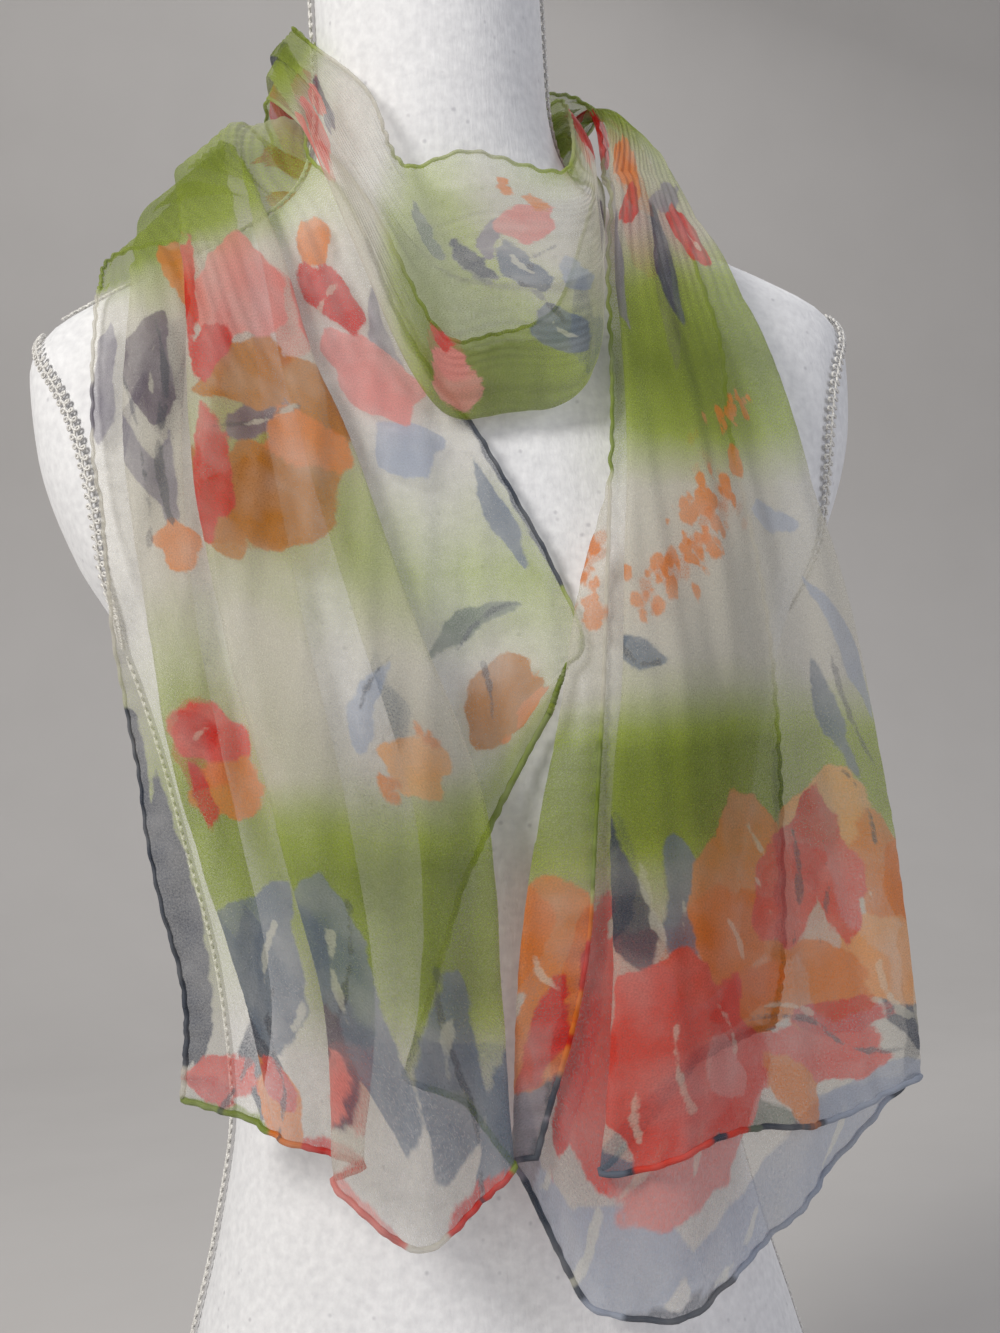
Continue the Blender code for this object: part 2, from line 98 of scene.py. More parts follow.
# The strip behind the neck. The inner band runs from the front loop's right end to the left tail, and
# the outer one from the loop's left end, over the inner, to the right tail. One row for each place:
# its angle (0 is the right side, 90 the back, 180 the left), and how far from the neck's middle and
# how high the strip's lower and upper edges are.
INNER_BAND = [
    # angle low_r  high_r  low    high
    (140, 0.094, 0.062, 0.662, 0.704),
    (90, 0.068, 0.060, 0.650, 0.706),
    (42, 0.066, 0.060, 0.660, 0.708),
    (3, 0.0700, 0.0610, 0.676, 0.714),
]
OUTER_BAND = [
    # angle low_r  high_r  low    high
    (178, 0.077, 0.060, 0.716, 0.748),
    (138, 0.086, 0.064, 0.694, 0.754),
    (90, 0.088, 0.066, 0.680, 0.752),
    (46, 0.093, 0.076, 0.674, 0.734),
]

# One row for each section of the form, from the underside up: height, half of the width,
# depth in front of and behind the middle, and how square the section is (2 is an ellipse).
FORM_SECTIONS = np.array([
    # z      half   front  back   square
    (0.000, 0.166, 0.116, 0.124, 2.15),
    (0.060, 0.162, 0.115, 0.124, 2.15),
    (0.125, 0.145, 0.107, 0.113, 2.15),
    (0.190, 0.127, 0.096, 0.098, 2.20),
    (0.250, 0.117, 0.089, 0.086, 2.20),
    (0.310, 0.121, 0.093, 0.086, 2.20),
    (0.370, 0.133, 0.103, 0.091, 2.25),
    (0.420, 0.144, 0.107, 0.095, 2.30),
    (0.465, 0.158, 0.102, 0.097, 2.50),
    (0.500, 0.177, 0.094, 0.096, 2.80),
    (0.550, 0.192, 0.081, 0.090, 2.90),
    (0.585, 0.194, 0.069, 0.081, 2.80),
    (0.606, 0.184, 0.061, 0.073, 2.60),
    (0.622, 0.157, 0.057, 0.068, 2.40),
    (0.637, 0.124, 0.055, 0.064, 2.20),
    (0.652, 0.092, 0.0545, 0.060, 2.10),
    (0.668, 0.069, 0.054, 0.057, 2.00),
    (0.690, 0.0570, 0.054, 0.055, 2.00),
    (0.715, 0.0540, 0.054, 0.054, 2.00),
    (0.800, 0.0535, 0.0535, 0.0535, 2.00),
])
BUST = dict(x=0.074, z=0.418, across=0.052, up=0.060, rise=0.026)

# The scarf is one strip. Eleven lines run along all of it, from its lower selvedge to its upper one,
# and each is a fold or a place between folds. The tables give one row to each line. "into" and "out"
# are the layers of cloth, counted from the form, on which the strip reaches the line and leaves it,
# so a line with two values is a fold.
LEFT_TAIL = [
    # line          into  out  crest   z60     z54     z46     z38     z31    hem_x   hem_z
    ("selvedge",    0.0, 0.0, -0.150, -0.158, -0.160, -0.157, -0.148, -0.137, -0.140, 0.266),
    ("outer_turn",  0.0, 1.0, -0.116, -0.120, -0.124, -0.121, -0.110, -0.100, -0.108, 0.257),
    ("outer_pleat", 1.0, 2.0, -0.132, -0.142, -0.146, -0.141, -0.128, -0.111, -0.100, 0.252),
    ("inner_turn",  1.0, 2.0, -0.094, -0.092, -0.088, -0.078, -0.066, -0.060, -0.068, 0.243),
    ("front_pleat", 2.2, 3.3, -0.112, -0.118, -0.118, -0.109, -0.093, -0.080, -0.080, 0.237),
    ("front_belly", 3.2, 3.2, -0.099, -0.096, -0.086, -0.070, -0.050, -0.044, -0.046, 0.202),
    ("front_edge",  3.0, 1.9, -0.086, -0.071, -0.053, -0.033, -0.010, -0.008, -0.007, 0.234),
    ("behind",      1.6, 1.6, -0.085, -0.080, -0.064, -0.046, -0.026, -0.026, -0.026, 0.266),
    ("hidden_turn", 1.1, 0.0, -0.088, -0.084, -0.074, -0.058, -0.040, -0.042, -0.050, 0.276),
    ("inner_belly", 0.0, 0.0, -0.070, -0.060, -0.034, -0.010, -0.011, -0.016, -0.022, 0.352),
    ("inner_edge",  0.0, 0.0, -0.056, -0.030,  0.002,  0.034,  0.026,  0.022,  0.018, 0.423),
]
RIGHT_TAIL = [
    # line          into  out  crest   z60     z54     z46     z38     z31    hem_x   hem_z
    ("selvedge",    1.0, 1.0,  0.082,  0.108,  0.108,  0.116,  0.120,  0.116,  0.110, 0.280),
    ("third",       1.0, 1.0,  0.078,  0.092,  0.084,  0.082,  0.080,  0.074,  0.068, 0.275),
    ("front_edge",  1.0, 2.2,  0.075,  0.065,  0.060,  0.048,  0.039,  0.037,  0.028, 0.226),
    ("pale_fold",   2.2, 2.2,  0.079,  0.092,  0.096,  0.106,  0.100,  0.094,  0.080, 0.242),
    ("front_belly", 2.2, 2.2,  0.083,  0.108,  0.116,  0.134,  0.142,  0.144,  0.134, 0.232),
    ("outer_edge",  2.2, 0.0,  0.088,  0.123,  0.137,  0.158,  0.174,  0.184,  0.186, 0.248),
    ("back_outer",  0.0, 0.0,  0.084,  0.112,  0.115,  0.124,  0.130,  0.132,  0.122, 0.196),
    ("back_belly",  0.0, 0.0,  0.080,  0.092,  0.088,  0.082,  0.078,  0.072,  0.062, 0.164),
    ("back_inner",  0.0, 0.0,  0.077,  0.074,  0.068,  0.050,  0.036,  0.028,  0.022, 0.168),
    ("strip_edge",  0.0, 1.0,  0.074,  0.063,  0.056,  0.029,  0.011, -0.001, -0.007, 0.240),
    ("strip_hem",   1.0, 1.0,  0.073,  0.062,  0.054,  0.042,  0.034,  0.025,  0.003, 0.237),
]
TAIL_HEIGHTS = (0.600, 0.540, 0.460, 0.380, 0.310)
CREST = dict(x=0.078, y=0.000, z=0.708, fall=0.90, inner_fall=-0.50)
# Layers that each station lies over, from the crest to the hem: the right tail lies on the front loop
# and then on the left tail's inner edge.
LEFT_LIFTS = (0.2, 0.0, 0.0, 0.3, 0.1, 0.0, 0.0)
RIGHT_LIFTS = (0.6, 1.6, 1.7, 1.5, 0.8, 0.4, 0.3)

# The front loop at four places on its way from the right of the neck to the left: position across,
# height, and how far the cloth stands in front of the form.
FRONT_LOOP = [
    # line          into out  rf_x  rf_z  rf_out c_x   c_z   c_out l2_x   l2_z  l2_out lf_x   lf_z  lf_out
    ("low_hem",     0.0, 0.0, .044, .606, .006, .010, .590, .004, -.014, .594, .007, -.042, .656, .014),
    ("inside_low",  0.0, 0.0, .047, .592, .006, .010, .572, .004, -.016, .580, .007, -.045, .648, .014),
    ("low_fold",    0.0, 1.0, .052, .573, .007, .010, .553, .005, -.021, .561, .008, -.050, .639, .015),
    ("swag_low",    1.0, 1.0, .056, .582, .013, .010, .566, .013, -.019, .580, .014, -.048, .648, .017),
    ("swag_mid",    1.0, 1.0, .058, .600, .019, .010, .586, .024, -.018, .602, .020, -.046, .658, .018),
    ("swag_fold",   1.0, 2.0, .059, .618, .022, .010, .608, .031, -.018, .622, .022, -.044, .668, .018),
    ("hollow",      1.6, 1.6, .059, .632, .019, .010, .628, .027, -.019, .636, .019, -.042, .677, .017),
    ("upper_fold",  1.6, 1.6, .058, .645, .017, .009, .644, .024, -.020, .647, .017, -.040, .685, .015),
    ("collar_low",  1.2, 1.2, .057, .655, .013, .008, .656, .018, -.021, .656, .014, -.038, .692, .014),
    ("collar_high", 1.0, 1.0, .055, .662, .010, .007, .665, .013, -.022, .663, .012, -.037, .698, .013),
    ("top_hem",     0.8, 0.8, .052, .668, .008, .006, .673, .010, -.023, .668, .011, -.036, .704, .012),
]
# How the strip is gathered on its way round behind the neck: a share of the band's height.
GATHERED = [
    # line    into  out  share
    ("low",   0.0, 0.0, 0.00),
    ("1",     0.0, 0.0, 0.26),
    ("2",     0.0, 0.8, 0.50),
    ("3",     0.8, 1.6, 0.30),
    ("4",     1.4, 1.4, 0.44),
    ("5",     1.1, 1.1, 0.58),
    ("6",     0.8, 1.6, 0.80),
    ("7",     1.6, 2.4, 0.62),
    ("8",     2.0, 2.0, 0.75),
    ("9",     1.4, 1.4, 0.88),
    ("high",  0.8, 0.8, 1.00),
]

# ---------------------------------------------------------------- the form's surface
def smooth_columns(table, places):
    """The table's columns at these places of its first column, along a curve with no overshoot."""
    keys, values = table[:, 0], table[:, 1:]
    steps = np.diff(keys)
    rises = np.diff(values, axis=0) / steps[:, None]
    slopes = np.vstack([rises[:1], 0.5 * (rises[:-1] + rises[1:]), rises[-1:]])
    least = np.minimum(np.abs(rises[:-1]), np.abs(rises[1:])) * 2.0
    slopes[1:-1] = np.where(
        rises[:-1] * rises[1:] > 0, np.clip(slopes[1:-1], -least, least), 0.0
    )
    places = np.clip(places, keys[0], keys[-1])
    index = np.clip(np.searchsorted(keys, places) - 1, 0, len(steps) - 1)
    span = steps[index][..., None]
    u = (places - keys[index])[..., None] / span
    return (
        (2 * u**3 - 3 * u**2 + 1) * values[index]
        + (u**3 - 2 * u**2 + u) * span * slopes[index]
        + (3 * u**2 - 2 * u**3) * values[index + 1]
        + (u**3 - u**2) * span * slopes[index + 1]
    )


def bust_rise(x, z):
    return BUST["rise"] * np.exp(
        -(((np.abs(x) - BUST["x"]) / BUST["across"]) ** 2)
        - ((z - BUST["z"]) / BUST["up"]) ** 2
    )


def form_front(x, z):
    """Where the form's front is at this place across and height (a negative Y)."""
    half, front, _, square = np.moveaxis(smooth_columns(FORM_SECTIONS, np.asarray(z, float)), -1, 0)
    share = np.clip(1 - (np.abs(x) / half) ** square, 0.0, 1.0)
    return -front * share ** (1 / square) - bust_rise(x, z) * np.sqrt(share)


def outside_form(points):
    """How far each point lies outside the form, to within a few per cent near its surface."""
    x, y, z = np.moveaxis(points, -1, 0)
    half, front, back, square = np.moveaxis(smooth_columns(FORM_SECTIONS, z), -1, 0)
    depth = np.where(y < 0, front + bust_rise(x, z), back)
    size = ((np.abs(x) / half) ** square + (np.abs(y) / depth) ** square) ** (1 / square)
    return (size - 1) * np.hypot(x, y) / np.maximum(size, 1e-6)


def outward(points):
    """The direction straight out of the form at each point."""
    step = 0.0005
    slope = np.stack([
        outside_form(points + offset) - outside_form(points - offset)
        for offset in step * np.eye(3)
    ], axis=-1)
    return slope / np.maximum(np.linalg.norm(slope, axis=-1, keepdims=True), 1e-9)


def kept_outside(points, clearance):
    """The points, moved straight out of the form until each is at least this clear of it."""
    for _ in range(6):
        normal = outward(points)
        step = 0.0005
        rate = (outside_form(points + step * normal) - outside_form(points)) / step
        short = clearance - outside_form(points) / np.maximum(rate, 0.2)
        points = points + normal * np.maximum(short, 0.0)[..., None]
    return points


# ---------------------------------------------------------------- the scarf's surface
def columns(table, *names_at):
    return [np.array([row[i] for row in table], float) for i in names_at]


def round_neck(row, share):
    """The lines' places on a band behind the neck, each at its share of the band's height."""
    angle, low_radius, high_radius, low, high = row
    turn = np.radians(angle)
    radius = low_radius + share * (high_radius - low_radius)
    height = low + share * (high - low)
    return np.stack([radius * np.cos(turn), radius * np.sin(turn), height], axis=-1)


def hanging(x, z):
    """A place on cloth that hangs in front, which falls straight from the fullest part above it."""
    side = np.clip(x, -SIDE_REACH, SIDE_REACH)
    heights = np.maximum(z[:, None], np.linspace(0.40, 0.62, 12))
    fullest = np.minimum(form_front(side[:, None], heights).min(axis=1), form_front(side, z))
    return np.stack([x, fullest + SIDE_SLOPE * (np.abs(x) - np.abs(side)), z], axis=-1)


def tail_stations(table, lifts):
    """A tail's stations from its crest, free above the shoulder, down to its hem."""
    into, out, crest, *across, hem_x, hem_z = columns(table, *range(1, 11))
    fall = np.where(np.abs(crest) > CREST["x"], CREST["fall"], CREST["inner_fall"])
    height = CREST["z"] - fall * (np.abs(crest) - CREST["x"])
    places = [np.stack([crest, np.full_like(crest, CREST["y"]), height], axis=-1)]
    for x, height in zip(across, TAIL_HEIGHTS):
        # A line whose hem is higher than this station keeps the last of its length for it.
        left_over = 0.12 * (height - TAIL_HEIGHTS[-1]) + 0.010
        places.append(hanging(x, np.maximum(height, hem_z + left_over)))
    places.append(hanging(hem_x, hem_z))
    return [(place, into + lift, out + lift) for place, lift in zip(places, lifts)]


def scarf_stations():
    """Every station of the strip: a place for each line, and its two layers."""
    into, out, share = columns(GATHERED, 1, 2, 3)
    inner = [(round_neck(row, share), into, out) for row in INNER_BAND]
    outer = [(round_neck(row, share), into, out) for row in OUTER_BAND]
    into, out, *places = columns(FRONT_LOOP, *range(1, 15))
    loop = []
    for x, z, stand in (places[0:3], places[3:6], places[6:9], places[9:12]):
        y = form_front(np.clip(x, -0.05, 0.05), z) - stand
        loop.append((np.stack([x, y, z], axis=-1), into, out))
    left = tail_stations(LEFT_TAIL, LEFT_LIFTS)[::-1]
    return left + inner + loop + outer + tail_stations(RIGHT_TAIL, RIGHT_LIFTS)


def along(values, place):
    """The values of the stations, at a place between them, on a smooth curve."""
    last = len(values) - 1
    i = int(np.clip(np.floor(place), 0, last - 1))
    u = place - i
    p1, p2 = values[i], values[i + 1]
    p0 = values[i - 1] if i > 0 else 2 * p1 - p2
    p3 = values[i + 2] if i + 2 <= last else 2 * p2 - p1
    return 0.5 * (
        2 * p1 + (p2 - p0) * u + (2 * p0 - 5 * p1 + 4 * p2 - p3) * u**2
        + (3 * p1 - p0 - 3 * p2 + p3) * u**3
    )


def in_front(points):
    """Which way layers stack at each point: out of the form at the neck, forwards where they hang."""
    sideways = np.clip(points[..., 0] / 0.30, -0.5, 0.5)
    forwards = np.stack([sideways, -np.ones_like(sideways), 0 * sideways], axis=-1)
    forwards /= np.linalg.norm(forwards, axis=-1, keepdims=True)
    hangs = np.clip((0.655 - points[..., 2]) / 0.06, 0, 1) * (points[..., 1] < -0.02)
    mixed = outward(points) * (1 - hangs[..., None]) + forwards * hangs[..., None]
    return mixed / np.linalg.norm(mixed, axis=-1, keepdims=True)


def smoothed(values, share):
    """The values, each averaged with its neighbours within half this share of them all."""
    half = max(1, int(0.5 * share * (FINE - 1)))
    kernel = np.hanning(2 * half + 3)[1:-1]
    before, after = 2 * values[:1] - values[half:0:-1], 2 * values[-1:] - values[-2:-half - 2:-1]
    return np.convolve(np.concatenate([before, values, after]), kernel / kernel.sum(), mode="valid")


def folded_line(stations, place):
    """The strip's cross-section at a place along it, with every fold rounded, and the room it needs."""
    base = along([s[0] for s in stations], place)
    into = along([s[1] for s in stations], place)
    out = along([s[2] for s in stations], place)
    rest = REST + (OVER_BRAID - REST) * np.clip((base[:, 2] - 0.57) / 0.04, 0, 1)
    normal = in_front(base)
    first = kept_outside(base, rest)
    repeats = np.array([1] + [2] * (len(base) - 2) + [1])
    levels = np.stack([into, out], axis=1).ravel()[1:-1]
    lift = np.repeat(normal, repeats, axis=0) * levels[:, None] * PITCH
    corners = np.repeat(first, repeats, axis=0) + lift
    steps = np.linalg.norm(np.diff(corners, axis=0), axis=1)
    reach = np.concatenate([[0], np.cumsum(steps)])
    fine = np.linspace(0, reach[-1], FINE)
    line = np.stack([np.interp(fine, reach, corners[:, k]) for k in range(3)], axis=-1)
    layer = np.interp(fine, reach, levels)
    if place < LEFT_CREST or place > RIGHT_CREST:
        under = np.repeat(base, repeats, axis=0)
        level = smoothed(np.interp(fine, reach, under[:, 2]), HEM_ROUND / reach[-1])
        flat = hanging(np.interp(fine, reach, under[:, 0]), level)
        flat = flat + in_front(flat) * (REST + layer * PITCH)[:, None]
        line = line + (flat - line) * (np.clip((0.625 - line[:, 2]) / 0.05, 0, 1))[:, None]
    line = np.stack([smoothed(line[:, k], FOLD_ROUND / reach[-1]) for k in range(3)], axis=-1)
    braid = (OVER_BRAID - REST) * np.clip((line[:, 2] - 0.57) / 0.04, 0, 1)
    return line, REST + braid + layer * PITCH * 0.8


def spread_even(line):
    """The line's points, moved so that they lie the same way apart."""
    reach = np.concatenate([[0], np.cumsum(np.linalg.norm(np.diff(line, axis=0), axis=1))])
    wanted = np.linspace(0, reach[-1], COLUMNS)
    return np.stack([np.interp(wanted, reach, line[:, k]) for k in range(3)], axis=-1)


# ---------------------------------------------------------------- meshes from nets of points
def net(name, points, close_rows=False, close_columns=False, caps=False):
    """A net of quads through rows of points. A closed one has its first row or column again at its end."""
    if close_rows:
        points = np.concatenate([points, points[:1]])
    if close_columns:
        points = np.concatenate([points, points[:, :1]], axis=1)
    rows, count = points.shape[:2]
    shape = bmesh.new()
    bmesh.ops.create_grid(shape, x_segments=count - 1, y_segments=rows - 1, size=1.0)
    for vert, place in zip(shape.verts, points.reshape(-1, 3)):
        vert.co = place
    if close_rows or close_columns:
        bmesh.ops.remove_doubles(shape, verts=shape.verts, dist=1e-6)
    if caps:
        bmesh.ops.holes_fill(shape, edges=[e for e in shape.edges if e.is_boundary])
    if caps or (close_rows and close_columns):
        bmesh.ops.recalc_face_normals(shape, faces=shape.faces)
    mesh = bpy.data.meshes.new(name)
    shape.to_mesh(mesh)
    shape.free()
    mesh.shade_smooth()
    obj = bpy.data.objects.new(name, mesh)
    bpy.context.scene.collection.objects.link(obj)
    return obj


def unit(vectors):
    return vectors / np.maximum(np.linalg.norm(vectors, axis=-1, keepdims=True), 1e-12)


def cord_rings(route, radius, sides, closed=False):
    """Rings round a route, each turned from the last as little as its bend needs."""
    ahead = np.roll(route, -1, axis=0) - np.roll(route, 1, axis=0)
    if not closed:
        ahead[0], ahead[-1] = route[1] - route[0], route[-1] - route[-2]
    ahead = unit(ahead)
    across = np.empty_like(route)
    side = np.cross(ahead[0], (0.31, 0.17, 0.93))
    for k, axis in enumerate(ahead):
        side = side - axis * (side @ axis)
        side = side / np.linalg.norm(side)
        across[k] = side
    other = np.cross(ahead, across)
    turns = np.linspace(0, 2 * np.pi, sides, endpoint=False)
    radius = np.broadcast_to(radius, len(route))[:, None, None]
    around = across[:, None] * np.cos(turns)[:, None] + other[:, None] * np.sin(turns)[:, None]
    return route[:, None] + radius * around


def linear(code):
    """A colour given as an sRGB hex code, in the linear values that shaders take."""
    parts = [int(code[i:i + 2], 16) / 255 for i in (1, 3, 5)]
    return tuple(c / 12.92 if c <= 0.04045 else ((c + 0.055) / 1.055) ** 2.4 for c in parts) + (1.0,)


def set_attribute(obj, name, values):
    kind, field = ("FLOAT", "value") if values.ndim == 1 else ("FLOAT_VECTOR", "vector")
    made = obj.data.attributes.new(name, kind, "POINT")
    made.data.foreach_set(field, np.ascontiguousarray(values, np.float32).ravel())


def finish_piece(obj, paint, nodes=()):
    obj.data.materials.append(paint)
    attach(obj, "root")
    if nodes:
        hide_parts(*nodes)

# ---------------------------------------------------------------- the cloth's surface
MM = 0.001
CUT_WIDTH = 0.500
COLUMNS = 238
# Each stretch as the solids have it, with the rows between its stations.
STRETCHES = {
    "scarf_left_tail": ((0.0, 5.0, 210), (5.0, 7.0, 90)),
    "scarf_inner_band": ((7.0, 10.0, 90),),
    "scarf_front_loop": ((10.0, 11.5, 50), (11.5, 15.3, 110)),
    "scarf_outer_band": ((15.3, 18.0, 96),),
    "scarf_right_tail": ((18.0, 20.0, 90), (20.0, 25.0, 210)),
}


def strip_places():
    """The places of all the strip's rows, and the first and last row of each stretch."""
    places, ends = [0.0], {}
    for name, runs in STRETCHES.items():
        first = len(places) - 1
        for start, end, count in runs:
            places.extend(np.linspace(start, end, count)[1:])
        ends[name] = (first, len(places) - 1)
    return np.array(places), ends


def net_normals(points):
    return unit(np.cross(np.gradient(points, axis=1), np.gradient(points, axis=0)))


def ramp(values, start, end):
    share = np.clip((values - start) / (end - start), 0, 1)
    return share * share * (3 - 2 * share)


# Waves that every hanging layer shares, so that no layer meets the next. They fan out from above the
# neck: how far apart they are at mid height, how deep, and how much they wander.
SHARED_WAVES = [
    # apart  deep    wander  start
    (0.047, 0.0017, 0.9, 0.4),
    (0.026, 0.0009, 0.7, 2.1),
    (0.013, 0.0004, 1.4, 4.0),
]
FAN = dict(x=0.030, z=1.35, level=0.45)


def shared_drape(points):
    x, y, z = np.moveaxis(points, -1, 0)
    fan = FAN["x"] + (x - FAN["x"]) * (FAN["z"] - FAN["level"]) / (FAN["z"] - z)
    depth = 0.0
    for apart, deep, wander, start in SHARED_WAVES:
        wave = np.sin(2 * np.pi * fan / apart + start + wander * np.sin(11.0 * z + start))
        depth = depth + deep * (1 + wave)
    hangs = ramp(-z, -0.640, -0.520) * ramp(-y, 0.0, 0.04)
    return in_front(points) * (depth * hangs)[..., None]


# Creases of single layers, in millimetres of the flat cloth: where each starts and ends, how far it
# stands out (or in), and half its width.
CREASES = [
    # across0 along0 across1 along1 deep wide
    (262, 20, 285, 330, 0.9, 7), (318, 40, 322, 260, -0.8, 9), (300, 150, 330, 400, 0.7, 6),
    (105, 60, 112, 340, 0.8, 6), (180, 90, 186, 380, -0.7, 7), (450, 120, 470, 360, 0.8, 8),
    (480, 200, 486, 420, -0.6, 6), (20, 60, 30, 380, 0.7, 7), (345, 30, 338, 200, 0.8, 8),
    (120, 1480, 135, 1800, 0.9, 7), (160, 1500, 150, 1850, -0.8, 8), (200, 1470, 190, 1700, 1.0, 8),
    (230, 1520, 245, 1840, 0.8, 6), (262, 1500, 270, 1850, -0.7, 7), (330, 1500, 345, 1860, 0.8, 9),
    (400, 1550, 405, 1860, -0.8, 9), (60, 1500, 70, 1840, 0.7, 8), (475, 1500, 480, 1830, 0.6, 6),
    (150, 840, 190, 1010, 1.1, 11), (215, 850, 250, 1010, -1.0, 10), (280, 845, 300, 1020, 1.1, 12),
    (350, 850, 345, 1030, -0.9, 10), (405, 850, 400, 1030, 1.0, 9), (455, 860, 450, 1030, 0.8, 7),
]


def creases(across, along_cloth):
    depth = np.zeros_like(across)
    for a0, l0, a1, l1, deep, wide in CREASES:
        share = np.clip((along_cloth / MM - l0) / (l1 - l0), 0, 1)
        middle = a0 + (a1 - a0) * share + 0.4 * wide * np.sin(9 * share)
        ends = np.sin(np.pi * share) ** 0.6
        depth += deep * MM * ends * np.exp(-((across / MM - middle) / wide) ** 2)
    return depth


GATHER_PITCH, GATHER_DEPTH = 0.0125, 0.0008
PUCKER_PITCH, PUCKER_DEPTH, PUCKER_REACH = 0.0120, 0.0007, 0.010


def small_folds(place, across, along_cloth):
    """Gathers round the neck, and the puckers that a rolled hem draws up beside it."""
    near_neck = ramp(place, 3.8, 6.0) * ramp(-place, -20.8, -19.0)
    near_neck = near_neck * (1 - 0.6 * ramp(place, 9.0, 10.6) * ramp(-place, -16.2, -14.6))
    phase = 2 * np.pi * across / GATHER_PITCH + 2.3 * np.sin(across * 61) + 1.6 * np.sin(along_cloth * 33)
    uneven = 0.65 + 0.35 * np.sin(across * 43 + along_cloth * 19)
    gathers = GATHER_DEPTH * near_neck * uneven * np.sin(phase)
    edge = np.minimum(across, CUT_WIDTH - across)
    end = np.minimum(along_cloth, along_cloth[-1:, :1] - along_cloth)
    beat = 2 * np.pi / PUCKER_PITCH
    side = np.exp(-edge / PUCKER_REACH) * np.sin(beat * along_cloth + 2 * np.sin(along_cloth * 41))
    foot = np.exp(-end / PUCKER_REACH) * np.sin(beat * across + 2 * np.sin(across * 57))
    return gathers + PUCKER_DEPTH * (side + foot)


def strip_surface():
    """The whole strip: its points, places in the cloth (across, along) and normals, and its stretches."""
    stations = scarf_stations()
    places, ends = strip_places()
    lines, rooms = zip(*[folded_line(stations, place) for place in places])
    points = np.array([spread_even(line) for line in kept_outside(np.array(lines), np.array(rooms))])
    steps = np.median(np.linalg.norm(np.diff(points, axis=0), axis=-1), axis=1)
    length = np.concatenate([[0], np.cumsum(steps)])
    along_cloth = np.repeat(length[:, None], COLUMNS, axis=1)
    across = np.repeat(np.linspace(0, CUT_WIDTH, COLUMNS)[None], len(places), axis=0)
    own = creases(across, along_cloth) + small_folds(places[:, None], across, along_cloth)
    points = points + net_normals(points) * own[..., None] + shared_drape(points)
    return points, across, along_cloth, ends


# ---------------------------------------------------------------- the print
# All of the print's tables are in millimetres of the flat cloth: across from the first selvedge, and
# along from the left tail's hem.
GROUND_ACROSS = (0, 100, 200, 300, 400, 500)
